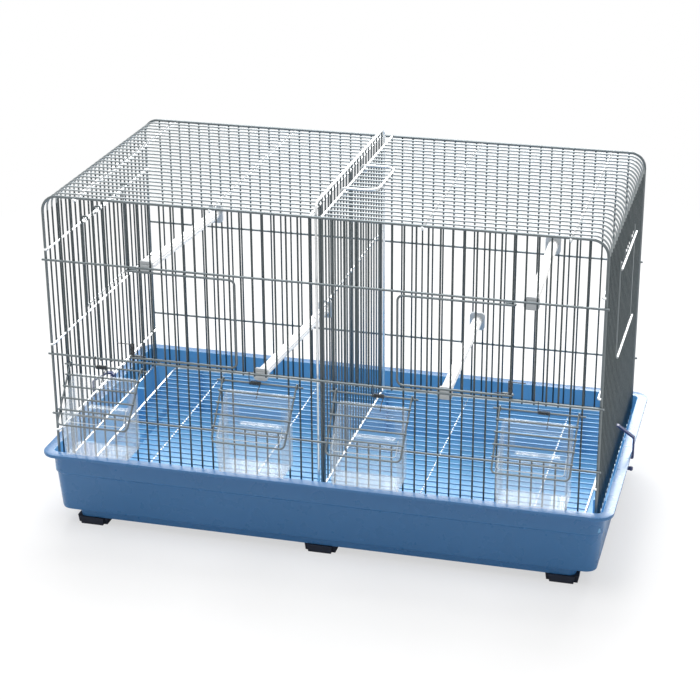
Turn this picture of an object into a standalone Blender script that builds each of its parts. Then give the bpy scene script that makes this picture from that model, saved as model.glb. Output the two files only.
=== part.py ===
"""Bird breeding cage: plastic tray, wire body with doors and sprung feeder flaps, clear cups, divider, perches.

All lengths are metres. X runs to the right, Y to the back, Z up. The cage body is drawn about its own centre
and then moved back a little, so that the origin lies under the centre of the whole product on the ground.
"""
import math

import bmesh
import bpy
from mathutils import Matrix, Vector

# Wire stock and clearances
WIRE = 0.0020
BAR = 0.0025
ROD = 0.0030
ROD_CHAMFER = 0.0004
FRONT_CHAMFER = 0.0008
SPRING_WIRE = 0.0010
CLEAR = 0.0003
WELD = 0.0002
LOOP_CLEAR = 0.0005

# Cage body
CAGE_WIDTH = 0.600
CAGE_DEPTH = 0.307
CAGE_TOP = 0.3875
TOP_RADIUS = 0.017
FOOT_RADIUS = 0.008
PITCH = 0.0125
SIDE_BAYS = 25
BAR_OVERHANG = 0.0035
FRONT_BARS = (0.1365, 0.2076, 0.3164)
BACK_BARS = (0.1373, 0.2574)
SIDE_BARS = (0.117, 0.219, 0.328)
TOP_BAR_INNER_BAY = 9
TOP_BAR_FROM_SIDE = 3

# Front doors
DOOR_HINGE_FROM_SIDE = 8
DOOR_FREE_BAY = 7
DOOR_BOTTOM = 0.2125
DOOR_TOP = 0.3120
DOOR_CORNER = 0.006
DOOR_TAIL = 0.008
DOOR_NUB = 0.0023

# Feeders
FEEDER_INNER_BAY = 5
FEEDER_FROM_SIDE = 5
FEEDER_CUT_WIRES = 4
STUB = 0.0035
FLAP_HINGE_Z = 0.197
FLAP_HINGE_HALF = 0.048
FLAP_HALF_TOP = 0.0410
FLAP_HALF_BOTTOM = 0.0400
FLAP_LENGTH = 0.070
FLAP_TILT = math.radians(42.0)
FLAP_CORNER = 0.005
FLAP_SLAT_PITCH = 0.0133
FLAP_SLATS = 4
FLAP_SPRING_SHIFT = 0.005

# Cups
CUP_HALF = 0.0365
CUP_WALL = 0.0015
CUP_BOTTOM = 0.1065
CUP_BOTTOM_REACH = 0.195
CUP_FRONT_S = 0.0665
CUP_TOP = 0.1890
CUP_MOUTH_HALF = 0.024
CUP_MOUTH_BOTTOM = 0.149
CUP_MOUTH_TOP = 0.175
CUP_LIP_DROP = 0.012
CUP_RADIUS = 0.004

# Nest doors in the sides
NEST_BAYS = (-4, 6)
NEST_HOOK_BAYS = (-4, -1, 3, 6)
NEST_BOTTOM = 0.2225
NEST_TOP = 0.3215
NEST_GAP = 0.0030

# Divider
DIVIDER_LENGTH = 0.290
DIVIDER_PROUD = 0.014
DIVIDER_BAR = 0.276
DIVIDER_BAYS = 24
DIVIDER_CORNER = 0.010
DIVIDER_FRONT_GAP = 0.0007

# Carrying handle
HANDLE_BAYS = (-5, 2)
HANDLE_REACH = 0.042
HANDLE_CORNER = 0.012

# Perches: bays counted from the middle, at the front and back panels, and the heights there
PERCH_FRONT_BAYS = (-15, 18, -5, 11)
PERCH_BACK_BAYS = (-17, 16, -6, 9)
PERCH_FRONT_HEIGHTS = (0.316, 0.314, 0.206, 0.206)
PERCH_BACK_HEIGHTS = (0.276, 0.2715, 0.166, 0.168)
PERCH_DIAMETER = 0.012
PERCH_PAD = 0.0032
PERCH_FRONT_PAD = (0.008, 0.007)
PERCH_BACK_PAD = (0.009, 0.011)
PERCH_TONGUE = 0.003

# Tray, half sizes
RIM_X = 0.319
RIM_Y = 0.168
RIM_TOP = 0.0895
RIM_THICK = 0.0037
RIM_WIDTH = 0.012
TRAY_WALL = 0.0022
BAND_IN = 0.0092
STEP_TOP = 0.0640
STEP_DEPTH = 0.0022
BASE_TOP = 0.0175
BASE_TAPER = 0.0040
FOOT_HEIGHT = 0.009
PLINTH_IN_X = 0.0355
PLINTH_IN_Y = 0.0165
SEAT_TOP = 0.067
SEAT_DEPTH = 0.013
SEAT_RIB = 0.004
SEAT_X = (-0.24, 0.0, 0.24)
SEAT_Y = (-0.08, 0.08)
FOOT_SIZE = (0.036, 0.024)
FOOT_X = (-0.267, 0.0, 0.267)
FOOT_INSET_Y = 0.0275

# Floor grille
FLOOR_IN_LEFT = 0.029
FLOOR_IN_RIGHT = 0.015
FLOOR_IN_Y = 0.007
FLOOR_BAYS = 24
FLOOR_CROSS = (-0.208, -0.083, 0.104, 0.2295)

# Tray clips and studs
CLIP_WIDTH = 0.005
CLIP_THICK = 0.002
CLIP_ELBOW = 0.1075
CLIP_TOE = 0.0832
CLIP_TOE_REACH = 0.0012
STUD_RADIUS = 0.0028
STUD_Y = -0.015
STUD_Z = 0.0765
STUD_PROUD = 0.0035

# Values that follow from the ones above
HALF_W = CAGE_WIDTH / 2
HALF_D = CAGE_DEPTH / 2
SIDE_PITCH = CAGE_DEPTH / SIDE_BAYS
FRONT_BAYS = round(HALF_W / PITCH)
TOP_BAR_BAYS = (TOP_BAR_INNER_BAY, FRONT_BAYS - TOP_BAR_FROM_SIDE)
DOOR_HINGE_WIRE = FRONT_BAYS - DOOR_HINGE_FROM_SIDE
FEEDER_OUTER_BAY = FRONT_BAYS - FEEDER_FROM_SIDE
FEEDER_BAYS = (-FEEDER_OUTER_BAY, -FEEDER_INNER_BAY, FEEDER_INNER_BAY, FEEDER_OUTER_BAY)
DIVIDER_TOP = CAGE_TOP + DIVIDER_PROUD
FLOOR_LEFT = FLOOR_IN_LEFT - HALF_W
FLOOR_RIGHT = HALF_W - FLOOR_IN_RIGHT
FLOOR_HALF_DEPTH = HALF_D - FLOOR_IN_Y
CAGE_FOOT = SEAT_TOP + CLEAR + ROD / 2
SLOT_X = PITCH / 2
BAR_OUT = ROD / 2 + BAR / 2 - WELD
BAR_IN = ROD / 2 + CLEAR + BAR / 2
BAR_CORNER = math.hypot(BAR / 2, BAR / 2 - ROD_CHAMFER * BAR / ROD)
DOOR_RAIL_OUT = WIRE / 2 + LOOP_CLEAR + BAR / 2
DOOR_WIRE_OUT = DOOR_RAIL_OUT - BAR / 2 - WIRE / 2 + WELD
FLAP_AXIS_Y = -HALF_D - WIRE + WELD
FLAP_EYE = WIRE + LOOP_CLEAR
FLAP_SLAT_OUT = FLAP_EYE + WIRE - WELD
CUP_HOOD_OUT = FLAP_SLAT_OUT - WIRE / 2 - CLEAR
CUP_BACK = -HALF_D - BAR_OUT - BAR / 2 - CLEAR
FLAP_DOWN = Vector((0.0, -math.sin(FLAP_TILT), -math.cos(FLAP_TILT)))
FLAP_OUT = Vector((0.0, -math.cos(FLAP_TILT), math.sin(FLAP_TILT)))
FLAP_AXIS = Vector((0.0, FLAP_AXIS_Y, FLAP_HINGE_Z))
FLAP_HALF_CORNER = WIRE / 2 * (math.sin(FLAP_TILT) + math.cos(FLAP_TILT))
FRONT_REACH = FLAP_HALF_CORNER - (FLAP_AXIS + FLAP_DOWN * FLAP_LENGTH + FLAP_OUT * FLAP_EYE).y
SHIFT_Y = (FRONT_REACH - RIM_Y) / 2

X_AXIS = Vector((1.0, 0.0, 0.0))
Y_AXIS = Vector((0.0, 1.0, 0.0))
Z_AXIS = Vector((0.0, 0.0, 1.0))


def clear_scene():
    for item in list(bpy.data.objects):
        bpy.data.objects.remove(item, do_unlink=True)


def material(name, colour, roughness, metallic=0.0, alpha=1.0):
    """A plain Principled material in the piece's own colour."""
    made = bpy.data.materials.new(name)
    made.use_nodes = True
    shader = made.node_tree.nodes["Principled BSDF"]
    shader.inputs["Base Color"].default_value = (*colour, 1.0)
    shader.inputs["Roughness"].default_value = roughness
    shader.inputs["Metallic"].default_value = metallic
    shader.inputs["Alpha"].default_value = alpha
    made.diffuse_color = (*colour, alpha)
    return made


def square(size):
    half = size / 2
    return [(-half, -half), (half, -half), (half, half), (-half, half)]


def flat_bar(width, thick):
    return [(-width / 2, -thick / 2), (width / 2, -thick / 2), (width / 2, thick / 2), (-width / 2, thick / 2)]


def polygon(size, sides):
    """Regular profile whose size is measured across its flats."""
    radius = size / 2 / math.cos(math.pi / sides)
    turns = [(k + 0.5) * 2 * math.pi / sides for k in range(sides)]
    return [(radius * math.cos(a), radius * math.sin(a)) for a in turns]


def chamfered(size, chamfer):
    """Square profile with cut corners, so that wires end on flat sides."""
    half = size / 2
    near = half - chamfer
    return [(half, -near), (half, near), (near, half), (-near, half),
            (-half, near), (-half, -near), (-near, -half), (near, -half)]


def rounded(corners, radii, steps, closed=False):
    """Path through the corners with an arc of the given radius at each turn."""
    points = [Vector(c) for c in corners]
    count = len(points)
    if not hasattr(radii, "__len__"):
        radii = [radii] * count
    path = []
    for i, corner in enumerate(points):
        if not closed and i in (0, count - 1):
            path.append(corner)
            continue
        back = (points[i - 1] - corner).normalized()
        ahead = (points[(i + 1) % count] - corner).normalized()
        half_angle = back.angle(ahead) / 2
        centre = corner + (back + ahead).normalized() * (radii[i] / math.sin(half_angle))
        start = corner + back * (radii[i] / math.tan(half_angle)) - centre
        end = corner + ahead * (radii[i] / math.tan(half_angle)) - centre
        axis = start.cross(end).normalized()
        sweep = start.angle(end)
        for k in range(steps + 1):
            path.append(centre + Matrix.Rotation(sweep * k / steps, 3, axis) @ start)
    return path


def add_wire(shape, path, profile, normal, closed=False):
    """Sweep a profile along a path with mitred bends; normal is the profile's second axis at the start."""
    points = [Vector(p) for p in path]
    count = len(points)
    last = count if closed else count - 1
    runs = [(points[(i + 1) % count] - points[i]).normalized() for i in range(last)]
    normal = Vector(normal)
    rings = []
    for i, point in enumerate(points):
        run_in = runs[i - 1] if closed or i > 0 else runs[0]
        run_out = runs[i] if i < last else runs[-1]
        side = run_in.cross(normal)
        mitre = (run_in + run_out).normalized()
        ring = []
        for a, b in profile:
            offset = side * a + normal * b
            slide = offset.dot(mitre) / run_in.dot(mitre)
            ring.append(shape.verts.new(point + offset - run_in * slide))
        rings.append(ring)
        normal = run_in.rotation_difference(run_out) @ normal
    sides = len(profile)
    for i in range(last):
        first = rings[i]
        second = rings[(i + 1) % count]
        for k in range(sides):
            j = (k + 1) % sides
            shape.faces.new((first[k], first[j], second[j], second[k]))
    if not closed:
        shape.faces.new(list(reversed(rings[0])))
        shape.faces.new(rings[-1])


def add_box(shape, low, high):
    corners = [shape.verts.new((x, y, z)) for z in (low[2], high[2])
               for x, y in ((low[0], low[1]), (high[0], low[1]), (high[0], high[1]), (low[0], high[1]))]
    for quad in ((3, 2, 1, 0), (4, 5, 6, 7), (0, 1, 5, 4), (1, 2, 6, 5), (2, 3, 7, 6), (3, 0, 4, 7)):
        shape.faces.new([corners[k] for k in quad])


def add_upright(shape, x, y, low, high, size=WIRE):
    half = size / 2
    add_box(shape, (x - half, y - half, low), (x + half, y + half, high))


def loft(shape, rings):
    """Closed solid through a list of rings with equal counts, flat at both ends."""
    made = [[shape.verts.new(p) for p in ring] for ring in rings]
    for first, second in zip(made, made[1:]):
        for k in range(len(first)):
            j = (k + 1) % len(first)
            shape.faces.new((first[k], first[j], second[j], second[k]))
    shape.faces.new(list(reversed(made[0])))
    shape.faces.new(made[-1])


def finish(shape, name, look, smooth=False):
    """Turn a bmesh into an object with outward faces."""
    bmesh.ops.recalc_face_normals(shape, faces=shape.faces)
    mesh = bpy.data.meshes.new(name)
    shape.to_mesh(mesh)
    shape.free()
    made = bpy.data.objects.new(name, mesh)
    bpy.context.scene.collection.objects.link(made)
    if look:
        mesh.materials.append(look)
    if smooth:
        mesh.shade_smooth()
        mesh.set_sharp_from_angle(angle=math.radians(50))
    return made


def combine(base, others, operation="UNION"):
    """Boolean the other solids into the base and remove them."""
    for other in others:
        step = base.modifiers.new("combine", "BOOLEAN")
        step.operation = operation
        step.solver = "EXACT"
        step.object = other
    bpy.context.view_layer.update()
    graph = bpy.context.evaluated_depsgraph_get()
    mesh = bpy.data.meshes.new_from_object(base.evaluated_get(graph))
    base.modifiers.clear()
    old = base.data
    base.data = mesh
    bpy.data.meshes.remove(old)
    mesh.name = base.name
    triangles = bmesh.new()
    triangles.from_mesh(mesh)
    bmesh.ops.triangulate(triangles, faces=triangles.faces, ngon_method="BEAUTY")
    triangles.to_mesh(mesh)
    triangles.free()
    for other in others:
        data = other.data
        bpy.data.objects.remove(other, do_unlink=True)
        bpy.data.meshes.remove(data)
    return base


def place(piece, pivot=(0.0, 0.0, 0.0)):
    """Put the piece's origin on its pivot and hang it on the product's root."""
    piece.data.transform(Matrix.Translation(-Vector(pivot)))
    piece.location = pivot
    piece.parent = ROOT
    return piece


def mirror_x(shape, sign):
    if sign < 0:
        for vert in shape.verts:
            vert.co.x = -vert.co.x


def bay_x(bay):
    """Middle of a bay between two front wires."""
    return bay * PITCH


def wire_x(index):
    """Front or back wire number index, counted from the middle, negative to the left."""
    return math.copysign(abs(index) + 0.5, index) * PITCH


def bay_y(bay):
    return bay * SIDE_PITCH


def side_wire_ys():
    return [(k - SIDE_BAYS / 2) * SIDE_PITCH for k in range(1, SIDE_BAYS)]


def front_wire_xs():
    count = int(CAGE_WIDTH / 2 / PITCH - 1)
    return [(k + 0.5) * PITCH for k in range(-count, count)]


def helix(centre, axis, start, radius, length, turns, per_turn):
    """Points of a coil that begins at the unit vector start and runs along the axis."""
    steps = int(round(turns * per_turn))
    points = []
    for k in range(steps + 1):
        turn = Matrix.Rotation(2 * math.pi * k / per_turn, 3, axis)
        points.append(centre + turn @ start * radius + axis * (length * k / steps))
    return points


def panel_frame(name, y, chamfer, look):
    corners = [(-HALF_W, y, CAGE_FOOT), (HALF_W, y, CAGE_FOOT), (HALF_W, y, CAGE_TOP), (-HALF_W, y, CAGE_TOP)]
    radii = [FOOT_RADIUS, FOOT_RADIUS, TOP_RADIUS, TOP_RADIUS]
    shape = bmesh.new()
    add_wire(shape, rounded(corners, radii, 3, closed=True), chamfered(ROD, chamfer), Y_AXIS, closed=True)
    return finish(shape, name, look)


def in_door_hole(x):
    return bay_x(DOOR_FREE_BAY) < abs(x) < wire_x(DOOR_HINGE_WIRE) - WIRE


def in_feeder_hole(x):
    reach = FEEDER_CUT_WIRES * PITCH / 2
    return any(abs(x - bay_x(bay)) < reach for bay in FEEDER_BAYS)


def front_wire_spans(x):
    """Heights between which the wire at x is present."""
    low_bar, middle_bar, high_bar = FRONT_BARS
    if in_door_hole(x):
        return [(CAGE_FOOT, DOOR_BOTTOM - CLEAR), (high_bar - BAR / 2 - CLEAR, CAGE_TOP)]
    if in_feeder_hole(x):
        return [(CAGE_FOOT, low_bar + STUB), (middle_bar - STUB, CAGE_TOP)]
    return [(CAGE_FOOT, CAGE_TOP)]


def front_panel(look):
    """Rounded frame with uprights, door and feeder holes, three crossbars and the feeder hinge wires."""
    frame = panel_frame("front_panel", -HALF_D, FRONT_CHAMFER, look)
    wires = bmesh.new()
    for x in front_wire_xs():
        if abs(abs(x) - wire_x(DOOR_HINGE_WIRE)) < WIRE:
            add_wire(wires, [(x, -HALF_D, CAGE_FOOT), (x, -HALF_D, CAGE_TOP)], polygon(WIRE, 8), Y_AXIS)
            continue
        for low, high in front_wire_spans(x):
            add_upright(wires, x, -HALF_D, low, high)
    bars = bmesh.new()
    reach = HALF_W + BAR_OVERHANG
    for z in FRONT_BARS:
        ends = [(-reach, -HALF_D - BAR_OUT, z), (reach, -HALF_D - BAR_OUT, z)]
        add_wire(bars, ends, polygon(BAR, 8), Y_AXIS)
    for bay in FEEDER_BAYS:
        ends = [(bay_x(bay) - FLAP_HINGE_HALF, FLAP_AXIS_Y, FLAP_HINGE_Z),
                (bay_x(bay) + FLAP_HINGE_HALF, FLAP_AXIS_Y, FLAP_HINGE_Z)]
        add_wire(bars, ends, polygon(WIRE, 8), Y_AXIS)
    combine(frame, [finish(wires, "uprights", look)])
    combine(frame, [finish(bars, "bars", look)])
    return place(frame)


def back_panel(look):
    frame = panel_frame("back_panel", HALF_D, ROD_CHAMFER, look)
    wires = bmesh.new()
    for x in front_wire_xs():
        add_upright(wires, x, HALF_D, CAGE_FOOT, CAGE_TOP)
    bars = bmesh.new()
    reach = HALF_W + BAR_OVERHANG
    for z in BACK_BARS:
        ends = [(-reach, HALF_D + BAR_OUT, z), (reach, HALF_D + BAR_OUT, z)]
        add_wire(bars, ends, polygon(BAR, 8), Y_AXIS)
    combine(frame, [finish(wires, "uprights", look)])
    combine(frame, [finish(bars, "bars", look)])
    return place(frame)


def side_wire_paths(y):
    """Centre lines of the bent wire at y, in two stretches where the nest door hole cuts it."""
    start = (HALF_W, y, CAGE_FOOT)
    bend = rounded([start, (HALF_W, y, CAGE_TOP), (SLOT_X, y, CAGE_TOP)], TOP_RADIUS, 3)
    if not bay_y(NEST_BAYS[0]) < y < bay_y(NEST_BAYS[1]):
        return [bend]
    upper = [(HALF_W, y, SIDE_BARS[2] - NEST_GAP)] + bend[1:]
    return [[start, (HALF_W, y, NEST_BOTTOM)], upper]


def hooked_bar(shape, along, hook):
    """Crossbar from front to back whose ends turn over the frames of the front and back panels."""
    reach = HALF_D + ROD / 2 + CLEAR + BAR / 2
    front = Vector(along) - Y_AXIS * reach
    back = Vector(along) + Y_AXIS * reach
    turn = Vector(hook) * BAR_IN
    add_wire(shape, [front + turn, front, back, back + turn], chamfered(BAR, ROD_CHAMFER), Vector(hook).cross(Y_AXIS))


def side_panel(sign, name, look):
    """One bent grille that makes a side and half of the top."""
    frame = bmesh.new()
    end = HALF_D - ROD / 2 - CLEAR
    for x, z in ((HALF_W, CAGE_FOOT), (SLOT_X, CAGE_TOP)):
        size = ROD if z == CAGE_FOOT else BAR
        add_wire(frame, [(x, -end, z), (x, end, z)], chamfered(size, ROD_CHAMFER * size / ROD), Z_AXIS)
    wires = bmesh.new()
    for y in side_wire_ys():
        for path in side_wire_paths(y):
            add_wire(wires, path, square(WIRE), Y_AXIS)
    bars = bmesh.new()
    for z in SIDE_BARS:
        hooked_bar(bars, (HALF_W - BAR_IN, 0.0, z), X_AXIS)
    for bay in TOP_BAR_BAYS:
        hooked_bar(bars, (bay_x(bay), 0.0, CAGE_TOP - BAR_IN), Z_AXIS)
    welds = bmesh.new()
    half = WIRE * 0.35
    inner = BAR_IN - BAR / 2 + WELD
    outer = WIRE / 2 - WELD
    ys = side_wire_ys()
    below = [y for y in ys if y < bay_y(NEST_BAYS[0])]
    above = [y for y in ys if y > bay_y(NEST_BAYS[1])]
    for y in (below[0], below[-1], above[0], above[-1]):
        for z in SIDE_BARS:
            add_box(welds, (HALF_W - inner, y - half, z - half), (HALF_W - outer, y + half, z + half))
        for bay in TOP_BAR_BAYS:
            x = bay_x(bay)
            add_box(welds, (x - half, y - half, CAGE_TOP - inner), (x + half, y + half, CAGE_TOP - outer))
    for shape in (frame, wires, bars, welds):
        mirror_x(shape, sign)
    body = finish(frame, name, look)
    combine(body, [finish(wires, "wires", look)])
    combine(body, [finish(welds, "welds", look)])
    combine(body, [finish(bars, "bars", look)])
    return place(body)


def front_door(sign, name, look):
    """One bent rail with eyes round the hinge wire, and nine upright wires behind it."""
    hinge = wire_x(DOOR_HINGE_WIRE)
    free = bay_x(DOOR_FREE_BAY)
    out = -HALF_D - DOOR_RAIL_OUT
    steps = 5
    corners = [(hinge, out, DOOR_BOTTOM), (free, out, DOOR_BOTTOM), (free, out, DOOR_TOP), (hinge, out, DOOR_TOP)]
    path = rounded(corners, DOOR_CORNER, 3)

    def eye(z):
        turns = [math.pi * k / steps for k in range(1, steps + 1)]
        points = [(hinge + DOOR_RAIL_OUT * math.sin(a), -HALF_D - DOOR_RAIL_OUT * math.cos(a), z) for a in turns]
        return points + [(hinge - DOOR_TAIL, -HALF_D + DOOR_RAIL_OUT, z)]

    path = list(reversed(eye(DOOR_BOTTOM))) + path + eye(DOOR_TOP)
    rail = bmesh.new()
    add_wire(rail, path, polygon(BAR, 8), Z_AXIS)
    wires = bmesh.new()
    for x in front_wire_xs():
        if x > 0 and in_door_hole(x):
            add_upright(wires, x, -HALF_D - DOOR_WIRE_OUT, DOOR_BOTTOM, DOOR_TOP + DOOR_NUB)
    mirror_x(rail, sign)
    mirror_x(wires, sign)
    body = finish(rail, name, look, smooth=True)
    combine(body, [finish(wires, "wires", look)])
    return place(body, (sign * hinge, -HALF_D, DOOR_BOTTOM))


def door_spring(sign, name, look):
    """Torsion spring on the hinge wire, one leg on the next cage wire and one on the door's wires."""
    hinge = wire_x(DOOR_HINGE_WIRE)
    radius = WIRE / 2 + LOOP_CLEAR + SPRING_WIRE / 2
    low = DOOR_BOTTOM + BAR / 2 + LOOP_CLEAR + SPRING_WIRE / 2
    length = 0.013
    coil = helix(Vector((hinge, -HALF_D, low)), Z_AXIS, -Y_AXIS, radius, length, 5, 6)
    door_leg = DOOR_WIRE_OUT + WIRE / 2 + CLEAR + SPRING_WIRE / 2
    lead = [Vector((hinge - 0.016, -HALF_D - door_leg, low)), Vector((hinge - 0.006, -HALF_D - door_leg, low))]
    tail = [Vector((hinge + PITCH + 0.004, -HALF_D - radius, low + length))]
    shape = bmesh.new()
    add_wire(shape, lead + coil + tail, polygon(SPRING_WIRE, 4), Z_AXIS)
    mirror_x(shape, sign)
    return place(finish(shape, name, look, smooth=True), (sign * hinge, -HALF_D, low))


def flap_point(x, down, out):
    return FLAP_AXIS + X_AXIS * x + FLAP_DOWN * down + FLAP_OUT * out


def flap(bay, name, look):
    """Bent wire frame with eyes on the hinge wire and four slats on its outside."""
    centre = bay_x(bay)
    steps = 6
    wrap = math.radians(220)

    def eye(x):
        turns = [wrap * k / steps for k in range(1, steps + 1)]
        return [flap_point(x, -FLAP_EYE * math.sin(a), FLAP_EYE * math.cos(a)) for a in turns]

    corners = [flap_point(centre - FLAP_HALF_TOP, 0.0, FLAP_EYE),
               flap_point(centre - FLAP_HALF_BOTTOM, FLAP_LENGTH, FLAP_EYE),
               flap_point(centre + FLAP_HALF_BOTTOM, FLAP_LENGTH, FLAP_EYE),
               flap_point(centre + FLAP_HALF_TOP, 0.0, FLAP_EYE)]
    path = rounded(corners, FLAP_CORNER, 3)
    path = list(reversed(eye(centre - FLAP_HALF_TOP))) + path + eye(centre + FLAP_HALF_TOP)
    frame = bmesh.new()
    add_wire(frame, path, square(WIRE), X_AXIS)
    slats = bmesh.new()
    for k in range(1, FLAP_SLATS + 1):
        down = k * FLAP_SLAT_PITCH
        half = FLAP_HALF_TOP + (FLAP_HALF_BOTTOM - FLAP_HALF_TOP) * down / FLAP_LENGTH + WIRE
        ends = [flap_point(centre - half, down, FLAP_SLAT_OUT), flap_point(centre + half, down, FLAP_SLAT_OUT)]
        add_wire(slats, ends, square(WIRE), FLAP_OUT)
    body = finish(frame, name, look)
    combine(body, [finish(slats, "slats", look)])
    return place(body, FLAP_AXIS + X_AXIS * centre)


def flap_spring(bay, name, look):
    """Torsion spring on the feeder hinge wire: one leg hooks over the crossbar, one presses the first slat."""
    centre = bay_x(bay) + math.copysign(FLAP_SPRING_SHIFT, bay)
    radius = WIRE / 2 + LOOP_CLEAR + SPRING_WIRE / 2
    length = 0.012
    start = FLAP_AXIS + X_AXIS * (centre - length / 2)
    coil = helix(start, X_AXIS, -Y_AXIS, radius, length, 4, 6)
    bar_front = -HALF_D - BAR_OUT - BAR / 2 - CLEAR - SPRING_WIRE / 2
    bar_top = FRONT_BARS[1] + BAR / 2 + CLEAR + SPRING_WIRE / 2
    hook = [Vector((start.x, bar_front + BAR / 2 + SPRING_WIRE, bar_top)),
            Vector((start.x, bar_front, bar_top)),
            Vector((start.x, bar_front, FLAP_HINGE_Z + 0.004))]
    slat_out = FLAP_SLAT_OUT + WIRE / 2 + CLEAR + SPRING_WIRE / 2
    end_x = coil[-1].x
    leg = [flap_point(end_x, FLAP_SLAT_PITCH - 0.003, slat_out), flap_point(end_x, FLAP_SLAT_PITCH + 0.006, slat_out)]
    shape = bmesh.new()
    add_wire(shape, hook + coil + leg, polygon(SPRING_WIRE, 4), X_AXIS)
    return place(finish(shape, name, look, smooth=True), FLAP_AXIS + X_AXIS * centre)


def cup_outline(inset):
    """Side view of the hooded cup, as (y, z) points, moved inward by the inset."""
    hood_low = flap_point(0.0, CUP_FRONT_S, CUP_HOOD_OUT)
    rise = (CUP_TOP - hood_low.z) / math.cos(FLAP_TILT)
    hood_high = hood_low - FLAP_DOWN * rise
    corners = [Vector((CUP_BACK, CUP_BOTTOM)), Vector((-CUP_BOTTOM_REACH, CUP_BOTTOM)),
               Vector((hood_low.y, hood_low.z)), Vector((hood_high.y, CUP_TOP)), Vector((CUP_BACK, CUP_TOP))]
    moved = []
    for i, corner in enumerate(corners):
        back = (corner - corners[i - 1]).normalized()
        ahead = (corners[(i + 1) % len(corners)] - corner).normalized()
        in_back = Vector((back.y, -back.x))
        in_ahead = Vector((ahead.y, -ahead.x))
        middle = (in_back + in_ahead).normalized()
        moved.append(corner + middle * (inset / middle.dot(in_back)))
    return moved


def cup(bay, name, look):
    """Clear hooded cup: open at the back through the feeder hole, with a lip that hooks over the low crossbar."""
    centre = bay_x(bay)

    def prism(inset, label):
        outline = [(0.0, p.x, p.y) for p in cup_outline(inset)]
        radii = [max(CUP_RADIUS - inset, 0.001)] * 3 + [max(CUP_RADIUS / 2 - inset, 0.0005)] * 2
        ring = rounded(outline, radii, 2, closed=True)
        half = CUP_HALF - inset
        shape = bmesh.new()
        loft(shape, [[p + X_AXIS * (centre - half) for p in ring], [p + X_AXIS * (centre + half) for p in ring]])
        return finish(shape, label, look)

    body = prism(0.0, name)
    edges = bmesh.new()
    edges.from_mesh(body.data)
    flat_ends = [f for f in edges.faces if abs(f.normal.x) > 0.9]
    rim = [e for f in flat_ends for e in f.edges]
    bmesh.ops.bevel(edges, geom=rim, offset=0.0015, segments=1, affect="EDGES")
    edges.to_mesh(body.data)
    edges.free()
    combine(body, [prism(CUP_WALL, "inside")], "DIFFERENCE")
    mouth = bmesh.new()
    add_box(mouth, (centre - CUP_MOUTH_HALF, CUP_BACK - 2 * CUP_WALL, CUP_MOUTH_BOTTOM),
            (centre + CUP_MOUTH_HALF, CUP_BACK + CUP_WALL, CUP_MOUTH_TOP))
    combine(body, [finish(mouth, "mouth", look)], "DIFFERENCE")
    lip = bmesh.new()
    reach = -HALF_D + WIRE / 2 + 2 * CLEAR + CUP_WALL
    half = CUP_MOUTH_HALF - 0.001
    top = CUP_MOUTH_BOTTOM - WELD
    profile = [(CUP_BACK - CUP_WALL / 2, top), (CUP_BACK - CUP_WALL / 2, top - CUP_WALL),
               (reach - CUP_WALL, top - CUP_WALL), (reach - CUP_WALL, top - CUP_LIP_DROP),
               (reach, top - CUP_LIP_DROP), (reach, top)]
    loft(lip, [[(centre - half, y, z) for y, z in profile], [(centre + half, y, z) for y, z in profile]])
    combine(body, [finish(lip, "lip", look)])
    ribs = bmesh.new()
    rest = FRONT_BARS[0] + BAR / 2 + CLEAR
    for side in (-1, 1):
        x = centre + side * PITCH
        add_box(ribs, (x - 0.0012, CUP_BACK - CUP_WALL / 2, rest),
                (x + 0.0012, -HALF_D - WIRE / 2 - CLEAR, top - CUP_WALL / 2))
    combine(body, [finish(ribs, "ribs", look)])
    return place(body)


def nest_door(sign, name, look):
    """Grille door that hangs by hooks on the upper side crossbar and lies against the cut wires."""
    plane = HALF_W + CLEAR + WELD
    rail_x = plane + WIRE / 2 + BAR / 2 - WELD
    bar_x = HALF_W - BAR_IN
    bar_z = SIDE_BARS[2]
    reach = BAR / 2 / math.cos(math.pi / 8) + CLEAR + WIRE / 2
    wires = bmesh.new()
    for bay in NEST_HOOK_BAYS:
        y = bay_y(bay)
        low = NEST_BOTTOM if bay in NEST_BAYS else NEST_TOP
        hook = [(plane, y, low), (plane, y, bar_z + reach), (bar_x - reach, y, bar_z + reach),
                (bar_x - reach, y, bar_z - BAR / 2)]
        add_wire(wires, rounded(hook, reach * 0.6, 2), square(WIRE), Y_AXIS)
    for y in side_wire_ys():
        if bay_y(NEST_BAYS[0]) < y < bay_y(NEST_BAYS[1]):
            add_upright(wires, plane, y, NEST_BOTTOM + 2 * CLEAR, NEST_TOP)
    rails = bmesh.new()
    for z in (NEST_BOTTOM, NEST_TOP):
        ends = [(rail_x, bay_y(NEST_BAYS[0]) - WIRE, z), (rail_x, bay_y(NEST_BAYS[1]) + WIRE, z)]
        add_wire(rails, ends, chamfered(BAR, ROD_CHAMFER), Z_AXIS)
    mirror_x(wires, sign)
    mirror_x(rails, sign)
    body = finish(rails, name, look)
    combine(body, [finish(wires, "wires", look)])
    return place(body, (sign * bar_x, 0.0, bar_z))


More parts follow.
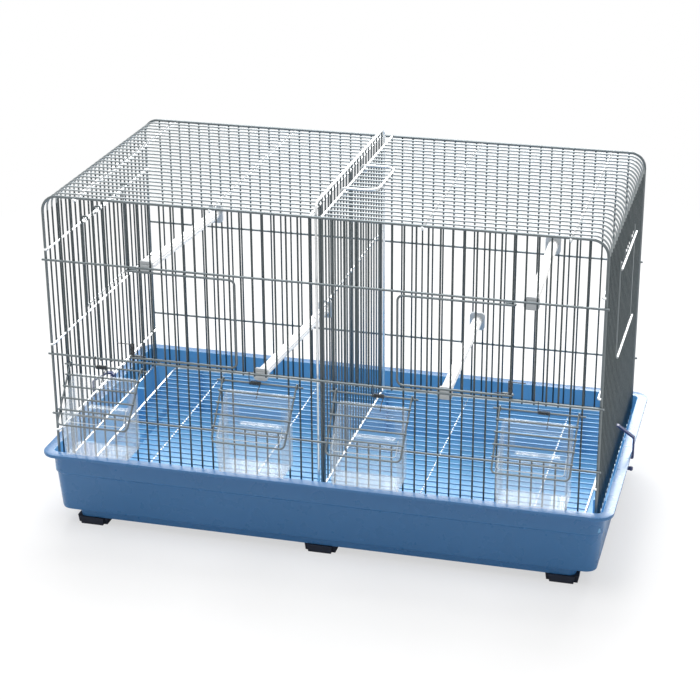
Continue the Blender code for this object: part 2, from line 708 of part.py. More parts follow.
def divider(look):
    """Wire frame that drops through the slot between the two halves of the top."""
    front = -HALF_D + ROD + DIVIDER_FRONT_GAP
    back = front + DIVIDER_LENGTH
    low = CAGE_FOOT + ROD / 2 + CLEAR + ROD / 2
    corners = [(0.0, front, low), (0.0, back, low), (0.0, back, DIVIDER_TOP), (0.0, front, DIVIDER_TOP)]
    radii = [DIVIDER_CORNER / 2, DIVIDER_CORNER / 2, DIVIDER_CORNER, DIVIDER_CORNER]
    shape = bmesh.new()
    add_wire(shape, rounded(corners, radii, 3, closed=True), chamfered(ROD, ROD_CHAMFER), X_AXIS, closed=True)
    body = finish(shape, "divider", look)
    wires = bmesh.new()
    for k in range(1, DIVIDER_BAYS):
        add_upright(wires, 0.0, front + k * DIVIDER_LENGTH / DIVIDER_BAYS, low, DIVIDER_TOP)
    bar = bmesh.new()
    ends = [(-BAR_OUT, front - ROD / 2, DIVIDER_BAR), (-BAR_OUT, back + ROD / 2, DIVIDER_BAR)]
    add_wire(bar, ends, polygon(BAR, 8), Z_AXIS)
    combine(body, [finish(wires, "wires", look)])
    combine(body, [finish(bar, "bar", look)])
    return place(body)


def handle(look):
    """Wire bail whose ends are eyes round the bar at the right edge of the slot."""
    radius = BAR_CORNER + CLEAR + BAR / 2
    steps = 6
    wrap = math.radians(250)
    front, back = (bay_y(bay) for bay in HANDLE_BAYS)

    def eye(y):
        turns = [wrap * k / steps for k in range(1, steps + 1)]
        return [(SLOT_X - radius * math.sin(a), y, CAGE_TOP + radius * math.cos(a)) for a in turns]

    top = CAGE_TOP + radius
    corners = [(SLOT_X, front, top), (HANDLE_REACH, front, top), (HANDLE_REACH, back, top), (SLOT_X, back, top)]
    path = rounded(corners, HANDLE_CORNER, 4)
    path = list(reversed(eye(front))) + path + eye(back)
    shape = bmesh.new()
    add_wire(shape, path, polygon(BAR, 8), Y_AXIS)
    return place(finish(shape, "handle", look, smooth=True), (SLOT_X, (front + back) / 2, CAGE_TOP))


def perch(front_bay, front_z, back_bay, back_z, name, look):
    """White bar that slopes to the back, with an end pad and a tongue between two wires at each panel."""
    inner = HALF_D - WIRE / 2 - CLEAR
    tongue_half = (PITCH - WIRE) / 2 - CLEAR
    bar = bmesh.new()
    seat = inner - PERCH_PAD / 2
    ends = [(bay_x(front_bay), -seat, front_z), (bay_x(back_bay), seat, back_z)]
    run = (Vector(ends[1]) - Vector(ends[0])).normalized()
    add_wire(bar, ends, polygon(PERCH_DIAMETER, 12), run.cross(X_AXIS).normalized())
    body = finish(bar, name, look, smooth=True)
    for side, bay, z, (half_x, half_z) in ((-1, front_bay, front_z, PERCH_FRONT_PAD),
                                           (1, back_bay, back_z, PERCH_BACK_PAD)):
        x = bay_x(bay)
        near, far = sorted((side * (inner - PERCH_PAD), side * inner))
        pad = bmesh.new()
        add_box(pad, (x - half_x, near, z - half_z), (x + half_x, far, z + half_z))
        upright = [e for e in pad.edges if abs((e.verts[0].co - e.verts[1].co).normalized().y) > 0.9]
        bmesh.ops.bevel(pad, geom=upright, offset=half_x * 0.5, segments=2, affect="EDGES")
        near, far = sorted((side * (inner - PERCH_PAD / 2), side * (inner + WIRE)))
        tongue = bmesh.new()
        add_box(tongue, (x - tongue_half, near, z - PERCH_TONGUE), (x + tongue_half, far, z + PERCH_TONGUE))
        combine(body, [finish(pad, "pad", look)])
        combine(body, [finish(tongue, "tongue", look)])
    return place(body)


def rounded_rectangle(half_x, half_y, z, radius, steps=3):
    corners = [(half_x, -half_y, z), (half_x, half_y, z), (-half_x, half_y, z), (-half_x, -half_y, z)]
    return rounded(corners, radius, steps, closed=True)


def tray(look):
    """Moulded tray: plinth, tapered wall, step, upper band, flat rim flange, and ribs that carry the cage."""
    band_x = RIM_X - BAND_IN
    band_y = RIM_Y - BAND_IN
    step_x = band_x - STEP_DEPTH
    step_y = band_y - STEP_DEPTH
    base_x = step_x - BASE_TAPER
    base_y = step_y - BASE_TAPER / 2
    plinth_x = RIM_X - PLINTH_IN_X
    plinth_y = RIM_Y - PLINTH_IN_Y
    under = FOOT_HEIGHT + CLEAR
    wall = TRAY_WALL
    edge = 0.0008
    outer = [(plinth_x - 0.002, plinth_y - 0.001, under, 0.008),
             (plinth_x, plinth_y, BASE_TOP, 0.009),
             (base_x - 0.002, base_y - 0.0015, BASE_TOP, 0.011),
             (base_x, base_y, BASE_TOP + 0.003, 0.012),
             (step_x, step_y, STEP_TOP - 0.002, 0.014),
             (band_x - 0.0006, band_y - 0.0006, STEP_TOP, 0.015),
             (band_x, band_y, RIM_TOP - RIM_THICK, 0.0155),
             (RIM_X - edge, RIM_Y - edge, RIM_TOP - RIM_THICK, 0.018),
             (RIM_X, RIM_Y, RIM_TOP - RIM_THICK + edge, 0.0185),
             (RIM_X, RIM_Y, RIM_TOP - edge, 0.0185),
             (RIM_X - edge, RIM_Y - edge, RIM_TOP, 0.018)]
    inner = [(RIM_X - RIM_WIDTH, RIM_Y - RIM_WIDTH, RIM_TOP, 0.007),
             (band_x - wall - 0.0006, band_y - wall - 0.0006, STEP_TOP + wall, 0.007),
             (step_x - wall, step_y - wall, STEP_TOP, 0.008),
             (base_x - wall, base_y - wall, BASE_TOP + wall + 0.002, 0.008),
             (base_x - wall - 0.002, base_y - wall - 0.0015, BASE_TOP + wall, 0.008),
             (plinth_x - wall, plinth_y - wall, BASE_TOP + wall, 0.007),
             (plinth_x - wall - 0.002, plinth_y - wall - 0.001, under + wall, 0.006)]
    shape = bmesh.new()
    loft(shape, [rounded_rectangle(*ring) for ring in outer + inner])
    body = finish(shape, "tray", look, smooth=True)
    floor = under + wall / 2
    ledge = BASE_TOP + wall / 2
    ribs = bmesh.new()
    wall_y = base_y - wall / 2
    wall_x = base_x - wall / 2
    foot_y = plinth_y - wall
    inner_y = HALF_D + ROD / 2 - SEAT_DEPTH
    inner_x = HALF_W + ROD / 2 - SEAT_DEPTH
    half = SEAT_RIB / 2
    for x in SEAT_X:
        for side in (-1, 1):
            profile = [(inner_y, floor), (foot_y, floor), (foot_y, ledge), (wall_y, ledge), (wall_y, SEAT_TOP),
                       (inner_y, SEAT_TOP)]
            loft(ribs, [[(x - half, side * y, z) for y, z in profile], [(x + half, side * y, z) for y, z in profile]])
    for y in SEAT_Y:
        for side in (-1, 1):
            low_x, high_x = sorted((side * inner_x, side * wall_x))
            add_box(ribs, (low_x, y - half, ledge), (high_x, y + half, SEAT_TOP))
    combine(body, [finish(ribs, "ribs", look)])
    return place(body)


def foot(x, side, name, look):
    y = side * (RIM_Y - FOOT_INSET_Y)
    half_x, half_y = FOOT_SIZE[0] / 2, FOOT_SIZE[1] / 2
    shape = bmesh.new()
    add_box(shape, (x - half_x, y - half_y, 0.0), (x + half_x, y + half_y, FOOT_HEIGHT))
    for vert in shape.verts:
        if vert.co.z == 0.0:
            vert.co.x = x + (vert.co.x - x) * 0.94
            vert.co.y = y + (vert.co.y - y) * 0.94
    upright = [e for e in shape.edges if abs(e.verts[0].co.z - e.verts[1].co.z) > FOOT_HEIGHT / 2]
    bmesh.ops.bevel(shape, geom=upright, offset=0.004, segments=2, affect="EDGES")
    return place(finish(shape, name, look), (x, y, 0.0))


def tray_stud(sign, name, look):
    """Round stud on the outside of the upper band, under the rim."""
    wall_x = RIM_X - BAND_IN
    shape = bmesh.new()
    radii = ((wall_x + CLEAR, STUD_RADIUS * 0.8), (RIM_X, STUD_RADIUS * 0.8),
             (RIM_X + STUD_PROUD * 0.3, STUD_RADIUS), (RIM_X + STUD_PROUD * 0.8, STUD_RADIUS * 0.9),
             (RIM_X + STUD_PROUD, STUD_RADIUS * 0.5))
    rings = []
    for x, radius in radii:
        turns = [2 * math.pi * k / 10 for k in range(10)]
        rings.append([(x, STUD_Y + radius * math.cos(a), STUD_Z + radius * math.sin(a)) for a in turns])
    loft(shape, rings)
    mirror_x(shape, sign)
    return place(finish(shape, name, look, smooth=True))


def floor_grille(look):
    """Flat grate that lies on the tray's ribs inside the cage."""
    z = CAGE_FOOT
    y = FLOOR_HALF_DEPTH
    corners = [(FLOOR_LEFT, -y, z), (FLOOR_RIGHT, -y, z), (FLOOR_RIGHT, y, z), (FLOOR_LEFT, y, z)]
    shape = bmesh.new()
    add_wire(shape, rounded(corners, FOOT_RADIUS, 2, closed=True), chamfered(ROD, ROD_CHAMFER), Z_AXIS, closed=True)
    body = finish(shape, "floor_grille", look)
    half = WIRE / 2
    wires = bmesh.new()
    for k in range(1, FLOOR_BAYS):
        row = -y + 2 * y * k / FLOOR_BAYS
        add_box(wires, (FLOOR_LEFT, row - half, z - half), (FLOOR_RIGHT, row + half, z + half))
    cross = bmesh.new()
    top = z - ROD / 2 + WELD
    for x in FLOOR_CROSS:
        add_box(cross, (x - half, -y, top - WIRE), (x + half, y, top))
    combine(body, [finish(wires, "wires", look)])
    combine(body, [finish(cross, "cross", look)])
    return place(body)


def clip(sign, name, look):
    """Flat clip with an eye on the lowest side crossbar and a toe under the tray's rim."""
    axis_x = HALF_W - BAR_IN
    axis_z = SIDE_BARS[0]
    radius = BAR_CORNER + LOOP_CLEAR + CLIP_THICK / 2
    leg_x = RIM_X + CLEAR + CLIP_THICK / 2
    steps = 7
    turns = [math.radians(-60 - 210 * k / steps) for k in range(steps + 1)]
    path = [(axis_x + radius * math.cos(a), 0.0, axis_z + radius * math.sin(a)) for a in turns]
    tip = RIM_X - CLIP_TOE_REACH
    strap = [path[-1], (HALF_W + WIRE, 0.0, axis_z + radius), (leg_x, 0.0, CLIP_ELBOW), (leg_x, 0.0, CLIP_TOE),
             (tip, 0.0, CLIP_TOE)]
    path = path[:-1] + rounded(strap, [0.0, 0.003, 0.002, 0.0008, 0.0], 2)
    shape = bmesh.new()
    add_wire(shape, path, flat_bar(CLIP_THICK, CLIP_WIDTH), Y_AXIS)
    mirror_x(shape, sign)
    return place(finish(shape, name, look), (sign * axis_x, 0.0, axis_z))


def build():
    zinc = material("zinc_wire", (0.46, 0.48, 0.48), 0.35, metallic=0.9)
    spring = material("spring_steel", (0.30, 0.31, 0.32), 0.4, metallic=0.9)
    blue = material("tray_blue", (0.06, 0.17, 0.38), 0.45)
    navy = material("foot_navy", (0.01, 0.025, 0.08), 0.6)
    clear = material("clear_plastic", (0.86, 0.90, 0.92), 0.08, alpha=0.35)
    white = material("perch_white", (0.86, 0.86, 0.84), 0.45)
    clip_blue = material("clip_blue", (0.035, 0.045, 0.13), 0.4)

    tray(blue)
    for row, side in enumerate((-1, 1)):
        for column, x in enumerate(FOOT_X):
            foot(x, side, f"foot_{row * len(FOOT_X) + column + 1}", navy)
    floor_grille(zinc)
    front_panel(zinc)
    back_panel(zinc)
    divider(zinc)
    handle(zinc)
    for sign, side in ((-1, "left"), (1, "right")):
        side_panel(sign, f"side_{side}", zinc)
        front_door(sign, f"front_door_{side}", zinc)
        door_spring(sign, f"door_spring_{side}", spring)
        nest_door(sign, f"nest_door_{side}", zinc)
        clip(sign, f"clip_{side}", clip_blue)
        tray_stud(sign, f"tray_stud_{side}", clip_blue)
    for number, bay in enumerate(FEEDER_BAYS, start=1):
        flap(bay, f"flap_{number}", zinc)
        flap_spring(bay, f"flap_spring_{number}", spring)
        cup(bay, f"cup_{number}", clear)
    perch_ends = zip(PERCH_FRONT_BAYS, PERCH_FRONT_HEIGHTS, PERCH_BACK_BAYS, PERCH_BACK_HEIGHTS)
    for number, ends in enumerate(perch_ends, start=1):
        perch(*ends, f"perch_{number}", white)


clear_scene()
ROOT = bpy.data.objects.new("breeding_cage", None)
bpy.context.scene.collection.objects.link(ROOT)
ROOT.location = (0.0, SHIFT_Y, 0.0)
build()
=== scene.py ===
"""Bird breeding cage, dressed: round zinc wires, moulded tray, clear cups, springs, studio light and camera.

Lengths are in metres. Each piece is worked out about the cage's middle, which lies CAGE_Y behind the origin.
"""
import math

import bmesh
import bpy
import numpy as np
from mathutils import Matrix, Vector


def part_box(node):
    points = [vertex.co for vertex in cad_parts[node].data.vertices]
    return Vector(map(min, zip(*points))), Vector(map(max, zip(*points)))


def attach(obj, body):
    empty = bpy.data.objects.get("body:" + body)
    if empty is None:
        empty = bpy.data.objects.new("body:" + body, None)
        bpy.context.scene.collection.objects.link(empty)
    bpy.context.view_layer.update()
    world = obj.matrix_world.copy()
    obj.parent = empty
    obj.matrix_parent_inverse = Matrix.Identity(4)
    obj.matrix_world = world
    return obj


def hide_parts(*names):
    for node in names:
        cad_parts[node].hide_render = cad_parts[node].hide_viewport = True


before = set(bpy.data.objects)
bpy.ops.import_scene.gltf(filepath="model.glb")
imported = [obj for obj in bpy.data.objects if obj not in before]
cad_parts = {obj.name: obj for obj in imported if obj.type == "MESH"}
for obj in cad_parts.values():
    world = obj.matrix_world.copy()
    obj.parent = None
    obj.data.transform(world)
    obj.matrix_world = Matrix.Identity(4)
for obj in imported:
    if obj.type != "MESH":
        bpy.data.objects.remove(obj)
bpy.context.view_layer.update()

# The tray carries everything. It is injection moulded in blue polypropylene: a plinth, a wall that leans
# outwards to a step, an upright band and a flat flange, with low ribs inside on which the cage body stands.
# The inside, with its ribs, is painted a lighter blue than the outside: painted light for the light that
# comes through its walls.
tray_low, tray_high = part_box("tray")
CAGE_Y = (tray_low.y + tray_high.y) / 2
TRAY_UNDER, RIM_TOP = tray_low.z, tray_high.z
TRAY_WALL = 0.0022
FLANGE_THICK = 0.0037
FLANGE_REACH = 0.0092
TOP_EDGE, TOP_EDGE_CUT = 0.0010, 0.0003
LOW_EDGE, LOW_EDGE_CUT = 0.0008, 0.0002
INNER_EDGE = 0.0005
BAND_TAPER = 0.0006
STEP_Z = 0.064
STEP_REACH = 0.0022
STEP_SLOPE = 0.002
WALL_TAPER = np.array((0.0040, 0.0020))
WALL_FOOT, WALL_FOOT_CUT = np.array((0.0020, 0.0015)), np.array((0.0006, 0.0005))
WALL_FOOT_RISE, WALL_FOOT_CUT_RISE = 0.003, 0.0007
INNER_FOOT_RISE = 0.002
LEDGE = 0.0175
PLINTH_IN = np.array((0.0355, 0.0165))
PLINTH_TAPER = np.array((0.0020, 0.0010))
OUTER, INNER = 0, 1


def bend(corners, radii, steps=6, closed=False):
    """Path through corners, each rounded by an arc except the two ends of an open path.

    A point of an arc is its centre plus the arms to its start and its end, times the sine of the turn still
    to come and the sine of the turn done, over the sine of the whole turn.
    """
    points = np.array(corners, float)
    count = len(points)
    radii = np.broadcast_to(radii, count)
    share = np.linspace(0, 1, steps + 1)[:, None]
    path = []
    for i, corner in enumerate(points):
        if not closed and i in (0, count - 1):
            path.append(corner[None])
            continue
        back = points[i - 1] - corner
        ahead = points[(i + 1) % count] - corner
        back /= np.linalg.norm(back)
        ahead /= np.linalg.norm(ahead)
        half = math.acos(back @ ahead) / 2
        sweep = math.pi - 2 * half
        centre = corner + (back + ahead) / np.linalg.norm(back + ahead) * radii[i] / math.sin(half)
        start = corner + back * radii[i] / math.tan(half) - centre
        end = corner + ahead * radii[i] / math.tan(half) - centre
        arc = np.sin((1 - share) * sweep) * start + np.sin(share * sweep) * end
        path.append(centre + arc / math.sin(sweep))
    return np.concatenate(path)


def crossed(x, y, z):
    """Points (x, y, z) from numbers and arrays that are spread over each other."""
    return np.stack(np.broadcast_arrays(x, y, z), axis=-1).reshape(-1, 3)


def skin(grid, tone=0, closed=False):
    """Surface over a grid of points (piece, ring, place in ring): its points, corners, face sizes and tones.

    A quad joins two neighbours of one ring to the same two of the next ring. Unless the rings close up, a
    flat face shuts the first ring of each piece and another one its last ring.
    """
    grid = np.asarray(grid, float)
    index = np.arange(grid[..., 0].size, dtype=np.int32).reshape(grid.shape[:3])
    here = index if closed else index[:, :-1]
    ahead = np.roll(index, -1, axis=1) if closed else index[:, 1:]
    quads = np.stack([here, ahead, np.roll(ahead, -1, axis=2), np.roll(here, -1, axis=2)], axis=-1)
    ends = [] if closed else [index[:, 0], index[:, -1, ::-1]]
    corners = np.concatenate([quads.ravel()] + [end.ravel() for end in ends])
    sizes = np.repeat((4, grid.shape[2]), (here.size, len(ends) * len(grid)))
    return grid.reshape(-1, 3), corners, sizes, np.broadcast_to(tone, sizes.shape)


def make(name, parts, body, looks, slot, replaces=(), sharp=50):
    """One object from several skins, smooth across angles under the sharp one, hung on its body.

    The corners of each skin are raised by the number of points before it.
    """
    points, corners, sizes, tones = (np.concatenate(rows) for rows in zip(*parts))
    counts = [len(part[0]) for part in parts]
    before = np.repeat(np.cumsum(counts) - counts, [len(part[1]) for part in parts])
    mesh = bpy.data.meshes.new(name)
    mesh.vertices.add(len(points))
    mesh.vertices.foreach_set("co", (points + (0.0, CAGE_Y, 0.0)).ravel())
    mesh.loops.add(len(corners))
    mesh.loops.foreach_set("vertex_index", corners + before)
    mesh.polygons.add(len(sizes))
    mesh.polygons.foreach_set("loop_start", np.cumsum(sizes) - sizes)
    mesh.update(calc_edges=True)
    for look in looks:
        mesh.materials.append(look)
    mesh.polygons.foreach_set("material_index", tones)
    shell = bmesh.new()
    shell.from_mesh(mesh)
    bmesh.ops.recalc_face_normals(shell, faces=shell.faces)
    shell.to_mesh(mesh)
    shell.free()
    mesh.shade_smooth()
    mesh.set_sharp_from_angle(angle=math.radians(sharp))
    made = bpy.data.objects.new(name, mesh)
    bpy.context.scene.collection.objects.link(made)
    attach(made, body)
    if replaces:
        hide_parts(*replaces)
    # In the photograph the tray's inside is evenly lit, so here the wires don't shade it.
    made.visible_shadow = made.visible_diffuse = slot not in ("zinc_wire", "spring_steel")


def feed(tree, node, feeds):
    """Gives inputs of a node, by name or number, another node's output or a plain value."""
    for key, source in feeds.items():
        if isinstance(source, bpy.types.NodeSocket):
            tree.links.new(source, node.inputs[key])
        else:
            node.inputs[key].default_value = source


def add_node(tree, kind, feeds, operation=None):
    """New node of one kind, with its inputs fed."""
    node = tree.nodes.new(kind)
    if operation:
        node.operation = operation
    feed(tree, node, feeds)
    return node


def surface_group():
    """Node group: soft noise in object space that changes a colour and a roughness a little.

    With n as the noise less one half, the colour's brightness is multiplied by one plus n times the colour
    share, and n times the roughness share is added to the roughness.
    """
    group = bpy.data.node_groups.new("handled surface", "ShaderNodeTree")
    for label in ("Colour", "Roughness", "Scale", "Colour share", "Roughness share"):
        kind = "NodeSocketColor" if label == "Colour" else "NodeSocketFloat"
        group.interface.new_socket(label, in_out="INPUT", socket_type=kind)
    group.interface.new_socket("Colour", in_out="OUTPUT", socket_type="NodeSocketColor")
    group.interface.new_socket("Roughness", in_out="OUTPUT", socket_type="NodeSocketFloat")
    given = add_node(group, "NodeGroupInput", {}).outputs
    place = add_node(group, "ShaderNodeTexCoord", {}).outputs["Object"]
    noise = add_node(group, "ShaderNodeTexNoise", {"Vector": place, "Scale": given["Scale"], "Detail": 4.0})
    centred = add_node(group, "ShaderNodeMath", {0: noise.outputs["Fac"], 1: 0.5}, "SUBTRACT").outputs[0]
    bright = add_node(group, "ShaderNodeMath", {0: centred, 1: given["Colour share"], 2: 1.0}, "MULTIPLY_ADD")
    tint = add_node(group, "ShaderNodeHueSaturation", {"Value": bright.outputs[0], "Color": given["Colour"]})
    rough = add_node(group, "ShaderNodeMath",
                     {0: centred, 1: given["Roughness share"], 2: given["Roughness"]}, "MULTIPLY_ADD")
    add_node(group, "NodeGroupOutput", {"Colour": tint.outputs["Color"], "Roughness": rough.outputs[0]})
    return group


SURFACE = surface_group()


def plain(name, feeds):
    """Principled material with the shader's inputs fed."""
    made = bpy.data.materials.new(name)
    made.use_nodes = True
    feed(made.node_tree, made.node_tree.nodes["Principled BSDF"], feeds)
    return made


def finish(name, colour, roughness, scale, colour_share, rough_share, metallic=0.0):
    """Principled material whose colour and roughness pass through the handled surface group."""
    made = plain(name, {"Metallic": metallic})
    tree = made.node_tree
    vary = add_node(tree, "ShaderNodeGroup", {})
    vary.node_tree = SURFACE
    feed(tree, vary, {"Colour": (*colour, 1.0), "Roughness": roughness, "Scale": scale,
                      "Colour share": colour_share, "Roughness share": rough_share})
    feed(tree, tree.nodes["Principled BSDF"],
         {"Base Color": vary.outputs["Colour"], "Roughness": vary.outputs["Roughness"]})
    return made


def tray_ring(size, height, radius):
    """Rectangle of the given half sizes with round corners, at one height, clockwise seen from above."""
    half_x, half_y = size
    corners = [(half_x, -half_y, height), (-half_x, -half_y, height), (-half_x, half_y, height),
               (half_x, half_y, height)]
    return bend(corners, radius, 12, closed=True)


# Each ring of the tray's profile: half sizes in x and y, height, corner radius.
rim = np.array((tray_high.x, (tray_high.y - tray_low.y) / 2))
band = rim - FLANGE_REACH
step = band - STEP_REACH
base = step - WALL_TAPER
plinth = rim - PLINTH_IN
flange_z = RIM_TOP - FLANGE_THICK
mouth = band - TRAY_WALL - BAND_TAPER
outside = [(plinth - PLINTH_TAPER, TRAY_UNDER, 0.008),
           (plinth, LEDGE, 0.009),
           (base - WALL_FOOT, LEDGE, 0.011),
           (base - WALL_FOOT_CUT, LEDGE + WALL_FOOT_CUT_RISE, 0.0118),
           (base, LEDGE + WALL_FOOT_RISE, 0.012),
           (step, STEP_Z - STEP_SLOPE, 0.014),
           (band - BAND_TAPER, STEP_Z, 0.015),
           (band, flange_z, 0.0155),
           (rim - LOW_EDGE, flange_z, 0.018),
           (rim - LOW_EDGE_CUT, flange_z + LOW_EDGE_CUT, 0.0184),
           (rim, flange_z + LOW_EDGE, 0.0185),
           (rim, RIM_TOP - TOP_EDGE, 0.0185),
           (rim - TOP_EDGE_CUT, RIM_TOP - TOP_EDGE_CUT, 0.0183),
           (rim - TOP_EDGE, RIM_TOP, 0.018)]
inside = [(mouth + INNER_EDGE, RIM_TOP, 0.0075),
          (mouth, RIM_TOP - INNER_EDGE, 0.007),
          (mouth, STEP_Z + TRAY_WALL, 0.007),
          (step - TRAY_WALL, STEP_Z, 0.008),
          (base - TRAY_WALL, LEDGE + TRAY_WALL + INNER_FOOT_RISE, 0.008),
          (base - TRAY_WALL - WALL_FOOT, LEDGE + TRAY_WALL, 0.008),
          (plinth - TRAY_WALL, LEDGE + TRAY_WALL, 0.007),
          (plinth - TRAY_WALL - PLINTH_TAPER, TRAY_UNDER + TRAY_WALL, 0.006)]
rings = [tray_ring(*ring) for ring in outside + inside]
around = len(rings[0])
# The last two faces of the skin are the underside and the inner floor.
tones = np.repeat((OUTER, INNER, OUTER, INNER), (len(outside) * around, (len(inside) - 1) * around, 1, 1))
parts = [skin([rings], tones)]

# Ten low ribs carry the cage and the grate: six against the front and back walls, and four on the ledge at
# the ends. The axes of a grid of ribs are rib, end of the tray, side of the rib and point of its outline.
SEAT = 0.067
HALF_W = 0.300
HALF_D = 0.1535
ROD = 0.0030
RIB_THICK = 0.004
RIB_REACH = 0.013
RIBS_X = np.array((-0.24, 0.0, 0.24))
RIBS_Y = np.array((-0.08, 0.08))
rib_x, rib_y = HALF_W + ROD / 2 - RIB_REACH, HALF_D + ROD / 2 - RIB_REACH
floor_z, ledge_z = TRAY_UNDER + TRAY_WALL / 2, LEDGE + TRAY_WALL / 2
foot_y = plinth[1] - TRAY_WALL
wall_x, wall_y = base - TRAY_WALL / 2
long_rib = np.array([(rib_y, floor_z), (foot_y, floor_z), (foot_y, ledge_z), (wall_y, ledge_z),
                     (wall_y, SEAT), (rib_y, SEAT)])
end_rib = np.array([(rib_x, ledge_z), (wall_x, ledge_z), (wall_x, SEAT), (rib_x, SEAT)])
rib_sides = np.array((-RIB_THICK / 2, RIB_THICK / 2))[:, None]
ways = np.array((-1, 1))[:, None, None]
long_grid = crossed(RIBS_X[:, None, None, None] + rib_sides, ways * long_rib[:, 0], long_rib[:, 1])
end_grid = crossed(ways * end_rib[:, 0], RIBS_Y[:, None, None, None] + rib_sides, end_rib[:, 1])
parts += [skin(long_grid.reshape(-1, 2, len(long_rib), 3), INNER),
          skin(end_grid.reshape(-1, 2, len(end_rib), 3), INNER)]
# The inside's lighter blue is painted light, not a second plastic.
TRAY_BLUE = [finish("tray blue, outside", (0.042, 0.170, 0.385), 0.28, 45.0, 0.06, 0.10),
             finish("tray blue, inside, painted light", (0.150, 0.400, 0.670), 0.34, 45.0, 0.06, 0.10)]
make("tray_shell", parts, "cage", TRAY_BLUE, "tray_blue", ["tray"], sharp=35)

# Six feet of dark soft rubber are pressed into the underside of the plinth, and a round stud of the clips'
# plastic sits under the flange at each end. They keep the solids' shape and take their own finish.
FOOT_NAVY = finish("foot rubber", (0.006, 0.010, 0.024), 0.6, 200.0, 0.2, 0.1)
CLIP_BLUE = finish("clip plastic", (0.035, 0.055, 0.160), 0.32, 90.0, 0.1, 0.08)


def dress(node, look):
    """Gives a solid that keeps its shape its own finish."""
    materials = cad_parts[node].data.materials
    materials.clear()
    materials.append(look)


for number in range(1, 7):
    dress(f"foot_{number}", FOOT_NAVY)
for side in ("left", "right"):
    dress(f"tray_stud_{side}", CLIP_BLUE)

# The floor grate lies on the ribs: a bent rod frame with wires from left to right over four cross wires.
# All wire is mild steel, drawn, spot welded where it crosses, and zinc plated. Its zinc is painted with light
# and
# shade, in five copies of one finish: upright wires in dark painted shade, frames, bars and top wires in
# lighter painted shade, lying bars with a bright painted highlight, and the floor grate with a painted blue
# reflection of the tray.
WIRE = 0.0020
BAR = 0.0025
SINK = 0.0002
GAP = 0.0003
WELD_SIZE = 0.8 * WIRE
FRAME_CORNER = 0.008
GRATE_BAYS = 24
CROSS_WIRES = np.array((-0.208, -0.083, 0.104, 0.2295))
# Five lit and shaded copies of one zinc: painted shade, painted highlight and a painted blue reflection.
ZINC = [finish("zinc, upright wires, painted shade", (0.080, 0.096, 0.102), 0.34, 260.0, 0.25, 0.2, metallic=1.0),
        finish("zinc, frames and bars, painted shade", (0.165, 0.188, 0.198), 0.32, 260.0, 0.25, 0.2, metallic=1.0),
        finish("zinc, lying bars, painted highlight", (0.820, 0.840, 0.850), 0.30, 260.0, 0.12, 0.15, metallic=1.0),
        finish("zinc, floor grate, painted reflection", (0.180, 0.300, 0.450), 0.30, 260.0, 0.12, 0.15, metallic=1.0),
        finish("zinc, top wires, painted shade", (0.320, 0.350, 0.360), 0.32, 260.0, 0.20, 0.2, metallic=1.0)]
UPRIGHT, FRAME, LYING, GRATE, TOP = range(len(ZINC))


def circles(along, helper, size, sides):
    """Rings square to each direction: radius times cosine along one side vector and sine along the other."""
    side = np.cross(along, helper)
    side /= np.linalg.norm(side, axis=1)[:, None]
    up = np.cross(side, along)
    turns = 2 * math.pi * np.arange(sides) / sides
    return size / 2 * (np.cos(turns)[:, None] * side[:, None] + np.sin(turns)[:, None] * up[:, None])


def tube(path, size, tone=FRAME, closed=False, sides=12):
    """Round wire along a path: each point plus a circle square to the path there.

    The path's direction at a point is the sum of the unit runs before and after it. The helper is slanted so
    that no wire lies along it, and the tiny term lets two equal points pass.
    """
    path = np.asarray(path, float)
    runs = np.roll(path, -1, axis=0) - path
    runs /= np.linalg.norm(runs, axis=1)[:, None] + 1e-12
    along = runs + np.roll(runs, 1, axis=0)
    if not closed:
        along[0], along[-1] = runs[0], runs[-2]
    along /= np.linalg.norm(along, axis=1)[:, None]
    return skin([path[:, None] + circles(along, (0.37, 0.61, -0.70), size, sides)], tone, closed)


def rods(starts, ends, size, tone=FRAME, sides=10):
    """Straight round wires, many at once: a circle square to the run at each start and each end.

    The helper is the z axis, or the x axis for wires that stand upright.
    """
    starts, ends = np.atleast_2d(np.array(starts, float)), np.atleast_2d(np.array(ends, float))
    run = ends - starts
    run /= np.linalg.norm(run, axis=1)[:, None]
    helper = np.where(np.abs(run[:, 2:]) > 0.9, [[1.0, 0.0, 0.0]], [[0.0, 0.0, 1.0]])
    ring = circles(run, helper, size, sides)
    return skin(np.stack([starts[:, None] + ring, ends[:, None] + ring], axis=1), tone)


def welds(places, way, tone=FRAME):
    """Short fillets of metal where two wires cross, from each place along the given way."""
    places = np.asarray(places, float)
    return rods(places, places + way, WELD_SIZE, tone, 6)


def between(first, last, bays):
    """Places that part a stretch into equal bays: first plus n shares of the stretch, n from one."""
    return first + (last - first) * np.arange(1, bays) / bays


low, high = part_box("floor_grille")
left, right = low.x + ROD / 2, high.x - ROD / 2
front, back = low.y - CAGE_Y + ROD / 2, high.y - CAGE_Y - ROD / 2
CAGE_FOOT = high.z - ROD / 2
corners = [(left, front, CAGE_FOOT), (right, front, CAGE_FOOT), (right, back, CAGE_FOOT),
           (left, back, CAGE_FOOT)]
rows = between(front, back, GRATE_BAYS)
under = CAGE_FOOT - ROD / 2 + SINK - WIRE / 2
parts = [tube(bend(corners, FRAME_CORNER, closed=True), ROD, LYING, closed=True),
         rods(crossed(left, rows, CAGE_FOOT), crossed(right, rows, CAGE_FOOT), WIRE, GRATE, 8),
         rods(crossed(CROSS_WIRES, front, under), crossed(CROSS_WIRES, back, under), WIRE, LYING, 8)]
make("floor_wires", parts, "cage", ZINC, "zinc_wire", ["floor_grille"])

